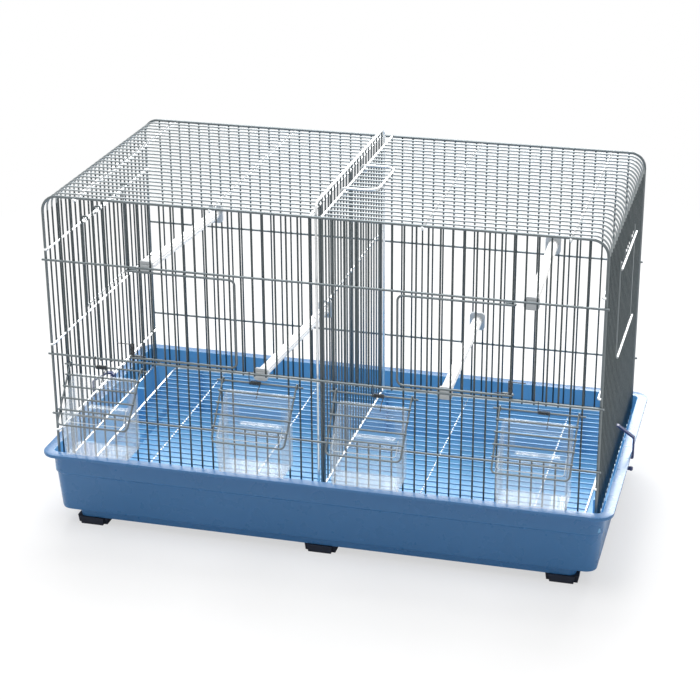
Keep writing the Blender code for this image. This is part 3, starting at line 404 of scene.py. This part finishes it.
# The back panel is a bent rod frame with 46 upright wires welded in it at one pitch. Two crossbars are welded
# over them on the outside and reach a little past the frame.
PITCH = 0.0125
UPRIGHT_COUNT = 46
TOP_RADIUS = 0.017
CAGE_TOP = 0.3875
BAR_PAST_FRAME = 0.0035
BAR_REACH = HALF_W + BAR_PAST_FRAME
BAR_OUT = ROD / 2 + BAR / 2 - SINK
BACK_BARS = np.array((0.1373, 0.2574))
UPRIGHTS = (np.arange(UPRIGHT_COUNT) - (UPRIGHT_COUNT - 1) / 2) * PITCH


def panel_frame(y):
    """Closed rod outline of a front or back panel."""
    corners = [(-HALF_W, y, CAGE_FOOT), (HALF_W, y, CAGE_FOOT), (HALF_W, y, CAGE_TOP), (-HALF_W, y, CAGE_TOP)]
    radii = [FRAME_CORNER, FRAME_CORNER, TOP_RADIUS, TOP_RADIUS]
    return tube(bend(corners, radii, 8, closed=True), ROD, FRAME, closed=True)


def upright_wires(places, y, foot, head):
    """Upright wires of a panel, each from its foot to its head."""
    return rods(crossed(places, y, foot), crossed(places, y, head), WIRE, UPRIGHT)


def crossbars(y, heights):
    """Crossbars of a panel at the given heights."""
    return rods(crossed(-BAR_REACH, y, heights), crossed(BAR_REACH, y, heights), BAR)


parts = [panel_frame(HALF_D),
         upright_wires(UPRIGHTS, HALF_D, CAGE_FOOT, CAGE_TOP),
         crossbars(HALF_D + BAR_OUT, BACK_BARS),
         welds(crossed(UPRIGHTS[:, None], HALF_D, BACK_BARS), (0.0, BAR_OUT, 0.0))]
make("back_wires", parts, "cage", ZINC, "zinc_wire", ["back_panel"])

# The front panel has the same frame and wires, with three crossbars welded on outside. Wires are cut away for
# two doors and four feeders, and a short hinge wire is welded across each feeder hole.
FRONT_BARS = (0.1365, 0.2076, 0.3164)
DOOR_HINGE = 16.5 * PITCH
DOOR_FREE = 7 * PITCH
DOOR_BOTTOM = 0.2125
FEEDER_X = np.array((-19, -5, 5, 19)) * PITCH
FEEDER_HALF = 2 * PITCH
FLAP_HINGE_Z = 0.197
FLAP_HINGE_HALF = 0.048
FLAP_AXIS_Y = -HALF_D - WIRE + SINK
CUT_END = 0.0035
low_bar, middle_bar, high_bar = FRONT_BARS
at_door = (abs(UPRIGHTS) > DOOR_FREE) & (abs(UPRIGHTS) < DOOR_HINGE - WIRE)
at_feeder = (abs(UPRIGHTS[:, None] - FEEDER_X) < FEEDER_HALF).any(axis=1)
lower_end = np.where(at_door, DOOR_BOTTOM - GAP, np.where(at_feeder, low_bar + CUT_END, CAGE_TOP))
upper_end = np.where(at_door, high_bar - BAR / 2 - GAP, middle_bar - CUT_END)
cut = at_door | at_feeder
outward = (0.0, -BAR_OUT, 0.0)
parts = [panel_frame(-HALF_D),
         upright_wires(UPRIGHTS, -HALF_D, CAGE_FOOT, lower_end),
         upright_wires(UPRIGHTS[cut], -HALF_D, upper_end[cut], CAGE_TOP),
         crossbars(-HALF_D - BAR_OUT, FRONT_BARS),
         rods(crossed(FEEDER_X - FLAP_HINGE_HALF, FLAP_AXIS_Y, FLAP_HINGE_Z),
              crossed(FEEDER_X + FLAP_HINGE_HALF, FLAP_AXIS_Y, FLAP_HINGE_Z), WIRE),
         welds(crossed(UPRIGHTS, -HALF_D, low_bar), outward),
         welds(crossed(UPRIGHTS[~at_door], -HALF_D, middle_bar), outward),
         welds(crossed(UPRIGHTS, -HALF_D, high_bar), outward)]
make("front_wires", parts, "cage", ZINC, "zinc_wire", ["front_panel"])

# Side pieces: each is one grille bent over the top corner, so that it makes a side and half of the top, with
# crossbars inside whose ends hook over the panels' frames. A hole is cut for a nest box.
SIDE_BAYS = 25
SIDE_PITCH = 2 * HALF_D / SIDE_BAYS
SIDE_BARS = np.array((0.117, 0.219, 0.328))
TOP_BARS = np.array((9, 21)) * PITCH
SLOT_X = PITCH / 2
BAR_IN = ROD / 2 + GAP + BAR / 2
BAR_HOOK = 0.0014
BEND_DOWN = 0.02
BEND_Z = CAGE_TOP - BEND_DOWN
NEST_BAYS = (-4, 6)
NEST_FRONT, NEST_BACK = NEST_BAYS[0] * SIDE_PITCH, NEST_BAYS[1] * SIDE_PITCH
NEST_BOTTOM = 0.2225
NEST_TOP = 0.3215
NEST_BAR = SIDE_BARS[2]
NEST_STUB = 0.003
SIDES = (("left", np.array((-1, 1, 1))), ("right", np.array((1, 1, 1))))
side_ys = between(-HALF_D, HALF_D, SIDE_BAYS)
at_nest = (side_ys > NEST_FRONT) & (side_ys < NEST_BACK)
nest_ys = side_ys[at_nest]
feet = crossed(HALF_W, side_ys, CAGE_FOOT)
heads = crossed(HALF_W, side_ys, np.where(at_nest, NEST_BOTTOM, BEND_Z))
stub_feet = crossed(HALF_W, nest_ys, NEST_BAR - NEST_STUB)
stub_heads = crossed(HALF_W, nest_ys, BEND_Z)
over = bend([(HALF_W, 0, BEND_Z), (HALF_W, 0, CAGE_TOP), (SLOT_X, 0, CAGE_TOP)], TOP_RADIUS, 8)
edge_y = HALF_D - ROD / 2 - GAP
hook_y = HALF_D + ROD / 2 + GAP + BAR / 2
bars = [((HALF_W - BAR_IN, z), (HALF_W, z)) for z in SIDE_BARS]
bars += [((x, CAGE_TOP - BAR_IN), (x, CAGE_TOP)) for x in TOP_BARS]
side_crossings = crossed(HALF_W, side_ys[:, None], SIDE_BARS)
top_weld_heads = crossed(TOP_BARS, side_ys[:, None], CAGE_TOP + WIRE / 2 + SINK)
top_weld_feet = crossed(TOP_BARS, side_ys[:, None], CAGE_TOP - BAR_IN)
for side, flip in SIDES:
    parts = [rods((HALF_W, -edge_y, CAGE_FOOT) * flip, (HALF_W, edge_y, CAGE_FOOT) * flip, ROD, LYING),
             rods((SLOT_X, -edge_y, CAGE_TOP) * flip, (SLOT_X, edge_y, CAGE_TOP) * flip, BAR, LYING),
             rods(feet * flip, heads * flip, WIRE, UPRIGHT),
             rods(stub_feet * flip, stub_heads * flip, WIRE, UPRIGHT)]
    parts += [tube((over + (0, y, 0)) * flip, WIRE, TOP, sides=10) for y in side_ys]
    for (x, z), (tip_x, tip_z) in bars:
        corners = [(tip_x, -hook_y, tip_z), (x, -hook_y, z), (x, hook_y, z), (tip_x, hook_y, tip_z)]
        parts.append(tube(bend(corners, BAR_HOOK, 4) * flip, BAR, LYING))
    parts += [welds(side_crossings * flip, (-BAR_IN, 0.0, 0.0) * flip, UPRIGHT),
              rods(top_weld_heads * flip, top_weld_feet * flip, BAR, LYING, 8)]
    make(f"side_wires_{side}", parts, "cage", ZINC, "zinc_wire", [f"side_{side}"])

# The divider is a flat wire grille that drops through the slot between the side pieces and parts the cage in
# two. Its frame is bent rod, and one crossbar is welded on its left face.
DIVIDER_CORNERS = (0.005, 0.005, 0.010, 0.010)
DIVIDER_BAYS = 24
DIVIDER_BAR = 0.276
low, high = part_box("divider")
front, back = low.y - CAGE_Y + ROD / 2, high.y - CAGE_Y - ROD / 2
foot, head = low.z + ROD / 2, high.z - ROD / 2
rows = between(front, back, DIVIDER_BAYS)
corners = [(0, front, foot), (0, back, foot), (0, back, head), (0, front, head)]
parts = [tube(bend(corners, DIVIDER_CORNERS, closed=True), ROD, LYING, closed=True),
         rods(crossed(0.0, rows, foot), crossed(0.0, rows, head), WIRE, FRAME),
         rods((-BAR_OUT, front, DIVIDER_BAR), (-BAR_OUT, back, DIVIDER_BAR), BAR, LYING),
         welds(crossed(0.0, rows, DIVIDER_BAR), (-BAR_OUT, 0.0, 0.0), LYING)]
make("divider_wires", parts, "divider", ZINC, "zinc_wire", ["divider"])

# Front doors: a bent rail whose ends turn round the hinge wire, nine wires, and a torsion spring of music
# wire wound round the hinge wire, with one leg across the next cage wire and one on the door.
DOOR_TOP = 0.3120
DOOR_CORNER = 0.006
DOOR_WIRE_END = 0.0023
DOOR_EYE_TAIL = 0.008
EYE_GAP = 0.0005
SPRING_WIRE = 0.0010
DOOR_COIL = 0.013
DOOR_COIL_TURNS = 10
CAGE_LEG_PAST = 0.004
DOOR_LEG_END, DOOR_LEG_BEND = 0.016, 0.006
COIL_RADIUS = WIRE / 2 + EYE_GAP + SPRING_WIRE / 2
SPRING_STEEL = finish("spring steel", (0.085, 0.090, 0.095), 0.28, 400.0, 0.15, 0.1, metallic=1.0)


def coil(start, axis, out, length, turns, per_turn=14):
    """Centre line of a spring: the start, plus the share done of the length along the axis.

    To this is added the coil's radius times the cosine of the angle turned, outwards, and its sine, square to
    both the axis and the outward way.
    """
    share = np.linspace(0, 1, int(turns * per_turn) + 1)[:, None]
    angle = 2 * math.pi * turns * share
    axis, out = np.array(axis, float), np.array(out, float)
    turned = np.cos(angle) * out + np.sin(angle) * np.cross(axis, out)
    return np.array(start) + length * share * axis + COIL_RADIUS * turned


def spring(name, path, body, replaces=()):
    """Piece of spring wire along a path."""
    make(name, [tube(path, SPRING_WIRE, 0, sides=8)], body, [SPRING_STEEL], "spring_steel", replaces)


rail_out = WIRE / 2 + EYE_GAP + BAR / 2
rail_y = -HALF_D - rail_out
wires_y = rail_y + BAR / 2 + WIRE / 2 - SINK
door_wires = UPRIGHTS[(UPRIGHTS > DOOR_FREE) & (UPRIGHTS < DOOR_HINGE - WIRE)]
door_feet = crossed(door_wires, wires_y, DOOR_BOTTOM)
door_heads = crossed(door_wires, wires_y, DOOR_TOP + DOOR_WIRE_END)
turn = np.linspace(0, math.pi, 10)[1:, None]
eye = np.hstack([DOOR_HINGE + rail_out * np.sin(turn), -HALF_D - rail_out * np.cos(turn)])
eye = np.vstack([eye, (DOOR_HINGE - DOOR_EYE_TAIL, -HALF_D + rail_out)])
low_eye = np.column_stack([eye, np.full(len(eye), DOOR_BOTTOM)])
high_eye = np.column_stack([eye, np.full(len(eye), DOOR_TOP)])
corners = [(DOOR_HINGE, rail_y, DOOR_BOTTOM), (DOOR_FREE, rail_y, DOOR_BOTTOM), (DOOR_FREE, rail_y, DOOR_TOP),
           (DOOR_HINGE, rail_y, DOOR_TOP)]
rail = np.vstack([low_eye[::-1], bend(corners, DOOR_CORNER), high_eye])
spring_z = DOOR_BOTTOM + BAR / 2 + EYE_GAP + SPRING_WIRE / 2
spring_y = -HALF_D - COIL_RADIUS
wound = coil((DOOR_HINGE, -HALF_D, spring_z), (0, 0, 1), (0, -1, 0), DOOR_COIL, DOOR_COIL_TURNS)
wound = np.vstack([wound, (DOOR_HINGE + PITCH + CAGE_LEG_PAST, spring_y, spring_z + DOOR_COIL)])
leg_y = wires_y - WIRE / 2 - GAP - SPRING_WIRE / 2
leg = np.array([(DOOR_HINGE - DOOR_LEG_END, leg_y, spring_z), (DOOR_HINGE - DOOR_LEG_BEND, leg_y, spring_z),
                (DOOR_HINGE, spring_y, spring_z)])
for side, flip in SIDES:
    parts = [tube(rail * flip, BAR, FRAME), rods(door_feet * flip, door_heads * flip, WIRE, UPRIGHT)]
    make(f"door_wires_{side}", parts, f"front_door_{side}", ZINC, "zinc_wire", [f"front_door_{side}"])
    spring(f"door_coil_{side}", wound * flip, "cage", [f"door_spring_{side}"])
    spring(f"door_spring_leg_{side}", leg * flip, f"front_door_{side}")

# Feeder flaps: a bent wire frame with eyes round the hinge wire and four slats, which leans out over the cup
# and is held down by a torsion spring hooked over the crossbar above.
FLAP_TILT = math.radians(42.0)
FLAP_LENGTH = 0.070
FLAP_CORNER = 0.005
SLAT_PITCH = 0.0133
TOP_HALF = 0.0410
LOW_HALF = 0.0400
FLAP_DOWN = np.array((0.0, -math.sin(FLAP_TILT), -math.cos(FLAP_TILT)))
FLAP_OUT = np.array((0.0, -math.cos(FLAP_TILT), math.sin(FLAP_TILT)))
FLAP_EYE = WIRE + EYE_GAP
FLAP_EYE_TURN = math.radians(220)
SLAT_OUT = FLAP_EYE + WIRE - SINK
FLAP_COIL = 0.012
FLAP_COIL_TURNS = 9
FLAP_COIL_OFF = 0.005
FLAP_HOOK_END = 0.004
FLAP_LEG_UP, FLAP_LEG_DOWN = 0.003, 0.006


def on_flap(x, down, outward):
    """Point on the leaning flap: the hinge, plus x across, down along the flap and outward from it."""
    x, down, outward = np.broadcast_arrays(x, down, outward)
    hinge = np.array((0.0, FLAP_AXIS_Y, FLAP_HINGE_Z)) + x[..., None] * (1.0, 0.0, 0.0)
    return hinge + down[..., None] * FLAP_DOWN + outward[..., None] * FLAP_OUT


turn = np.linspace(0, FLAP_EYE_TURN, 11)[1:]
eye_down, eye_out = -FLAP_EYE * np.sin(turn), FLAP_EYE * np.cos(turn)
frame_x = np.array((-TOP_HALF, -LOW_HALF, LOW_HALF, TOP_HALF))
frame_down = np.array((0.0, FLAP_LENGTH, FLAP_LENGTH, 0.0))
slat_down = SLAT_PITCH * np.arange(1, 5)
slat_half = TOP_HALF + (LOW_HALF - TOP_HALF) * slat_down / FLAP_LENGTH + WIRE
hook_front = -HALF_D - BAR_OUT - BAR / 2 - GAP - SPRING_WIRE / 2
hook_top = middle_bar + BAR / 2 + GAP + SPRING_WIRE / 2
leg_down = np.array((SLAT_PITCH - FLAP_LEG_UP, SLAT_PITCH + FLAP_LEG_DOWN))
leg_out = SLAT_OUT + WIRE / 2 + GAP + SPRING_WIRE / 2
for number, centre in enumerate(FEEDER_X, start=1):
    left_eye = on_flap(centre - TOP_HALF, eye_down, eye_out)
    right_eye = on_flap(centre + TOP_HALF, eye_down, eye_out)
    corners = on_flap(centre + frame_x, frame_down, FLAP_EYE)
    slat_starts = on_flap(centre - slat_half, slat_down, SLAT_OUT)
    slat_ends = on_flap(centre + slat_half, slat_down, SLAT_OUT)
    parts = [tube(np.vstack([left_eye[::-1], bend(corners, FLAP_CORNER), right_eye]), WIRE, FRAME),
             rods(slat_starts, slat_ends, WIRE, FRAME)]
    make(f"flap_wires_{number}", parts, f"flap_{number}", ZINC, "zinc_wire", [f"flap_{number}"])
    begin = centre + math.copysign(FLAP_COIL_OFF, centre) - FLAP_COIL / 2
    wound = coil((begin, FLAP_AXIS_Y, FLAP_HINGE_Z), (1, 0, 0), (0, -1, 0), FLAP_COIL, FLAP_COIL_TURNS)
    hook = [(begin, hook_front + BAR / 2 + SPRING_WIRE, hook_top), (begin, hook_front, hook_top),
            (begin, hook_front, FLAP_HINGE_Z + FLAP_HOOK_END)]
    spring(f"flap_coil_{number}", np.vstack([hook, wound]), "cage", [f"flap_spring_{number}"])
    leg = np.vstack([wound[-1], on_flap(wound[-1, 0], leg_down, leg_out)])
    spring(f"flap_spring_leg_{number}", leg, f"flap_{number}")

# Cups: hooded boxes of clear moulded polystyrene, open to the cage through the feeder hole. They keep the
# solids' shape. Thin walls let most light through and turn white and glossy towards their edges. A thin
# bead along the lower edge of the hood and up the front corners of the bottom is painted whiter and less
# clear
# than the walls: a real edge with a painted highlight on it.
HOOD_LIP_DOWN = 0.0665
HOOD_SIDE = 0.014
HOOD_CORNER = 0.003
CUP_FRONT = -0.195
BEAD = 0.0008
BEAD_IN_X, BEAD_IN_LIP, BEAD_IN_FOOT = 0.0022, 0.0014, 0.0012
FRONT_LEAN, FRONT_RISE = 0.0016, 0.009
CLEAR_PLASTIC = plain("clear polystyrene", {"Base Color": (0.80, 0.85, 0.88, 1.0), "Roughness": 0.06})
tree = CLEAR_PLASTIC.node_tree
facing = add_node(tree, "ShaderNodeLayerWeight", {"Blend": 0.35}).outputs["Facing"]
cover = add_node(tree, "ShaderNodeMapRange", {"Value": facing, "To Min": 0.02, "To Max": 0.50})
feed(tree, tree.nodes["Principled BSDF"], {"Alpha": cover.outputs["Result"]})
CUP_EDGE_HIGHLIGHT = plain("clear polystyrene, edge highlight", {"Base Color": (0.86, 0.90, 0.92, 1.0), "Roughness": 0.10,
                                             "Alpha": 0.75})
lip_y, lip_z = on_flap(0.0, HOOD_LIP_DOWN, SLAT_OUT - WIRE / 2 - GAP)[1:]
bead_y = lip_y + BEAD_IN_LIP
side_y, side_z = bead_y + HOOD_SIDE * math.tan(FLAP_TILT), lip_z + HOOD_SIDE
for number, centre in enumerate(FEEDER_X, start=1):
    dress(f"cup_{number}", CLEAR_PLASTIC)
    low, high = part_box(f"cup_{number}")
    half = (high.x - low.x) / 2 - BEAD_IN_X
    hood = bend([(centre - half, side_y, side_z), (centre - half, bead_y, lip_z),
                 (centre + half, bead_y, lip_z), (centre + half, side_y, side_z)], HOOD_CORNER)
    lower = crossed(centre + np.array((-half, half)), CUP_FRONT + BEAD_IN_FOOT, low.z + BEAD_IN_FOOT)
    parts = [tube(hood, BEAD, 0, sides=8),
             rods(lower, lower + (0.0, -FRONT_LEAN, FRONT_RISE), BEAD, 0, 8)]
    make(f"cup_edges_{number}", parts, "cage", [CUP_EDGE_HIGHLIGHT], "clear_plastic")

# Nest doors: a flat grille in each side that covers the nest hole. Its wires are cut to length and welded to
# two rails, and four more wires are bent to hooks by which it hangs on the upper crossbar.
HOOKED_BAYS = (-4, -1, 3, 6)
NEST_HOOK_ROUND = 0.6
plane = HALF_W + GAP + SINK
rail_x = plane + WIRE / 2 + BAR / 2 - SINK
bar_x = HALF_W - BAR_IN
reach = BAR / 2 / math.cos(math.pi / 8) + GAP + WIRE / 2
nest_feet, nest_heads = crossed(plane, nest_ys, NEST_BOTTOM + 2 * GAP), crossed(plane, nest_ys, NEST_TOP)
rail_heights = np.array((NEST_BOTTOM, NEST_TOP))
rail_starts = crossed(rail_x, NEST_FRONT - WIRE, rail_heights)
rail_ends = crossed(rail_x, NEST_BACK + WIRE, rail_heights)
for side, flip in SIDES:
    parts = [rods(nest_feet * flip, nest_heads * flip, WIRE, UPRIGHT)]
    for bay in HOOKED_BAYS:
        y = bay * SIDE_PITCH
        low_end = NEST_BOTTOM if bay in NEST_BAYS else NEST_TOP
        corners = [(plane, y, low_end), (plane, y, NEST_BAR + reach), (bar_x - reach, y, NEST_BAR + reach),
                   (bar_x - reach, y, NEST_BAR - BAR / 2)]
        parts.append(tube(bend(corners, reach * NEST_HOOK_ROUND, 5) * flip, WIRE, FRAME))
    parts.append(rods(rail_starts * flip, rail_ends * flip, BAR, LYING))
    make(f"nest_wires_{side}", parts, f"nest_door_{side}", ZINC, "zinc_wire", [f"nest_door_{side}"])

# Perches: fluted bars of white moulded plastic that slope to the back, each with an end pad against the wires
# and a tongue that grips between two of them. A row gives bay and height in front, then at the back.
PERCHES = ((-15, 0.316, -17, 0.276), (18, 0.314, 16, 0.2715), (-5, 0.206, -6, 0.166), (11, 0.206, 9, 0.168))
PERCH_RADIUS = 0.006
FLUTES = 12
FLUTE_DEPTH = 0.0007
PERCH_POINTS = 96
PAD = 0.0032
FRONT_PAD, BACK_PAD = (0.008, 0.007), (0.009, 0.011)
TONGUE = ((PITCH - WIRE) / 2 - GAP, 0.003)
TONGUE_CORNER = 0.001
PERCH_END = HALF_D - WIRE / 2 - GAP
PERCH_WHITE = finish("perch plastic", (0.90, 0.90, 0.89), 0.42, 90.0, 0.04, 0.1)
# The pads and tongues are white plastic painted grey: painted shade where they sit against the wires.
PAD_PAINTED_SHADE = finish("perch pad plastic, painted shade", (0.50, 0.53, 0.55), 0.45, 90.0, 0.06, 0.1)


def block(x, z, half, near, far, corner):
    """Pad between two depths: its outline, seen from the front, is a rectangle with round corners."""
    half_x, half_z = half
    corners = [(x - half_x, 0.0, z - half_z), (x + half_x, 0.0, z - half_z), (x + half_x, 0.0, z + half_z),
               (x - half_x, 0.0, z + half_z)]
    flat = bend(corners, corner, 4, closed=True)
    # Tone 1, the pads' grey, is painted shade.
    return skin([[flat + (0.0, near, 0.0), flat + (0.0, far, 0.0)]], 1)


turns = 2 * math.pi * np.arange(PERCH_POINTS)[:, None] / PERCH_POINTS
fluted = PERCH_RADIUS - FLUTE_DEPTH / 2 * (1 - np.cos(FLUTES * turns))
for number, (front_bay, front_z, back_bay, back_z) in enumerate(PERCHES, start=1):
    start = np.array((front_bay * PITCH, PAD / 2 - PERCH_END, front_z))
    end = np.array((back_bay * PITCH, PERCH_END - PAD / 2, back_z))
    run = (end - start) / np.linalg.norm(end - start)
    across = np.cross(run, (0.0, 0.0, 1.0))
    across /= np.linalg.norm(across)
    ring = fluted * np.cos(turns) * across + fluted * np.sin(turns) * np.cross(across, run)
    parts = [skin([[start + ring, end + ring]])]
    for way, x, z, half in ((-1, start[0], front_z, FRONT_PAD), (1, end[0], back_z, BACK_PAD)):
        near, far = sorted((way * (PERCH_END - PAD), way * PERCH_END))
        parts.append(block(x, z, half, near, far, half[0] / 2))
        near, far = sorted((way * (PERCH_END - PAD / 2), way * (PERCH_END + WIRE)))
        parts.append(block(x, z, TONGUE, near, far, TONGUE_CORNER))
    make(f"perch_bar_{number}", parts, "cage", [PERCH_WHITE, PAD_PAINTED_SHADE], "perch_white", [f"perch_{number}"])

# The carrying handle is one bar, bent to a flat bow whose ends turn round the bar beside the slot. It lies
# flat on the top wires at rest.
HANDLE_FRONT, HANDLE_BACK = -5 * SIDE_PITCH, 2 * SIDE_PITCH
HANDLE_X = 0.042
HANDLE_CORNER = 0.012
HANDLE_EYE_TURN = math.radians(250)
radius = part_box("handle")[1].z - BAR / 2 - CAGE_TOP
bow_z = CAGE_TOP + radius
turn = np.linspace(0, HANDLE_EYE_TURN, 11)[1:]
eye = crossed(SLOT_X - radius * np.sin(turn), 0.0, CAGE_TOP + radius * np.cos(turn))
corners = [(SLOT_X, HANDLE_FRONT, bow_z), (HANDLE_X, HANDLE_FRONT, bow_z), (HANDLE_X, HANDLE_BACK, bow_z),
           (SLOT_X, HANDLE_BACK, bow_z)]
front_eye, back_eye = eye + (0, HANDLE_FRONT, 0), eye + (0, HANDLE_BACK, 0)
bow = np.vstack([front_eye[::-1], bend(corners, HANDLE_CORNER, 8), back_eye])
make("handle_wire", [tube(bow, BAR, LYING)], "handle", ZINC, "zinc_wire", ["handle"])

# Tray clips: a moulded strap of dark blue plastic at each end that turns on the lowest side bar and comes
# down over the tray's rim. They keep the solids' shape.
for side in ("left", "right"):
    dress(f"clip_{side}", CLIP_BLUE)

# The studio: a paper floor that keeps the shadow near the cage and turns pure white away from it, an even
# white surround, and three large soft lamps: a key from behind on the left, one overhead, one for the rim.
# A row of lamps gives name, place, size and watts.
WHITE = (1.0, 1.0, 1.0, 1.0)
FLOOR_HALF = 6.0
SHADOW_NEAR, SHADOW_FAR = 0.40, 1.20
FILL_STRENGTH = 0.42
LAMP_AIM = Vector((0.0, 0.0, 0.2))
LAMPS = (("back lamp", (-0.7, 1.9, 1.8), 1.6, 45.0), ("top lamp", (-0.3, -0.2, 2.4), 1.4, 26.0),
         ("rim lamp", (0.45, 2.0, 1.15), 1.0, 30.0))
FLOOR_WHITE = plain("studio floor", {"Base Color": (0.93, 0.93, 0.93, 1.0), "Roughness": 0.9,
                                     "Specular IOR Level": 0.1})
tree = FLOOR_WHITE.node_tree
paper = add_node(tree, "ShaderNodeEmission", {"Color": WHITE, "Strength": 1.0})
camera_ray = add_node(tree, "ShaderNodeLightPath", {}).outputs["Is Camera Ray"]
place = add_node(tree, "ShaderNodeTexCoord", {}).outputs["Object"]
away = add_node(tree, "ShaderNodeVectorMath", {0: place}, "LENGTH")
whiten = add_node(tree, "ShaderNodeMapRange", {"Value": away.outputs["Value"], "From Min": SHADOW_NEAR,
                                               "From Max": SHADOW_FAR, "To Min": 0.60, "To Max": 1.0})
share = add_node(tree, "ShaderNodeMath", {0: camera_ray, 1: whiten.outputs["Result"]}, "MULTIPLY")
mix = add_node(tree, "ShaderNodeMixShader", {"Fac": share.outputs[0], 2: paper.outputs["Emission"],
                                             1: tree.nodes["Principled BSDF"].outputs["BSDF"]})
feed(tree, tree.nodes["Material Output"], {"Surface": mix.outputs["Shader"]})
floor_mesh = bpy.data.meshes.new("studio_floor")
floor_corners = [(-FLOOR_HALF, -FLOOR_HALF, 0), (FLOOR_HALF, -FLOOR_HALF, 0), (FLOOR_HALF, FLOOR_HALF, 0),
                 (-FLOOR_HALF, FLOOR_HALF, 0)]
floor_mesh.from_pydata(floor_corners, [], [(0, 1, 2, 3)])
floor_mesh.materials.append(FLOOR_WHITE)
floor = bpy.data.objects.new("studio_floor", floor_mesh)
bpy.context.scene.collection.objects.link(floor)

world = bpy.data.worlds.new("studio")
bpy.context.scene.world = world
world.use_nodes = True
tree = world.node_tree
fill = tree.nodes["Background"]
feed(tree, fill, {"Color": WHITE, "Strength": FILL_STRENGTH})
seen = add_node(tree, "ShaderNodeBackground", {"Color": WHITE, "Strength": 1.0})
ray = add_node(tree, "ShaderNodeLightPath", {}).outputs
direct = add_node(tree, "ShaderNodeMath", {0: ray["Is Camera Ray"], 1: ray["Is Glossy Ray"]}, "MAXIMUM")
white_ray = add_node(tree, "ShaderNodeMath", {0: direct.outputs[0], 1: ray["Is Transmission Ray"]}, "MAXIMUM")
mix = add_node(tree, "ShaderNodeMixShader", {"Fac": white_ray.outputs[0], 1: fill.outputs["Background"],
                                             2: seen.outputs["Background"]})
feed(tree, tree.nodes["World Output"], {"Surface": mix.outputs["Shader"]})
for name, stand, size, power in LAMPS:
    light = bpy.data.lights.new(name, "AREA")
    light.size = size
    light.energy = power
    lamp = bpy.data.objects.new(name, light)
    lamp.location = stand
    lamp.rotation_euler = (LAMP_AIM - Vector(stand)).to_track_quat("-Z", "Y").to_euler()
    bpy.context.scene.collection.objects.link(lamp)

# The camera stands where the photographer's stood, in front of the cage and right of it. It is turned 15
# degrees to the left and looks 22.5 degrees down. The focal length was worked out in the image's pixels.
CAMERA_TURN, CAMERA_TILT, CAMERA_ROLL = -0.261387, 0.393398, -0.005016
CAMERA_PLACE = (0.501616, CAGE_Y - 1.892686, 0.992311)
FOCAL_PIXELS, IMAGE_WIDTH = 1870.917, 700
SENSOR_WIDTH = 36.0
ahead = Vector((math.sin(CAMERA_TURN) * math.cos(CAMERA_TILT), math.cos(CAMERA_TURN) * math.cos(CAMERA_TILT),
                -math.sin(CAMERA_TILT)))
level = Vector((math.cos(CAMERA_TURN), -math.sin(CAMERA_TURN), 0.0))
upward = level.cross(ahead)
right = level * math.cos(CAMERA_ROLL) + upward * math.sin(CAMERA_ROLL)
top = upward * math.cos(CAMERA_ROLL) - level * math.sin(CAMERA_ROLL)
lens = bpy.data.cameras.new("camera")
lens.sensor_width = SENSOR_WIDTH
lens.lens = FOCAL_PIXELS * SENSOR_WIDTH / IMAGE_WIDTH
camera = bpy.data.objects.new("camera", lens)
camera.matrix_world = Matrix.Translation(CAMERA_PLACE) @ Matrix((right, top, -ahead)).transposed().to_4x4()
bpy.context.scene.collection.objects.link(camera)
bpy.context.scene.camera = camera
bpy.context.scene.view_settings.view_transform = "Standard"
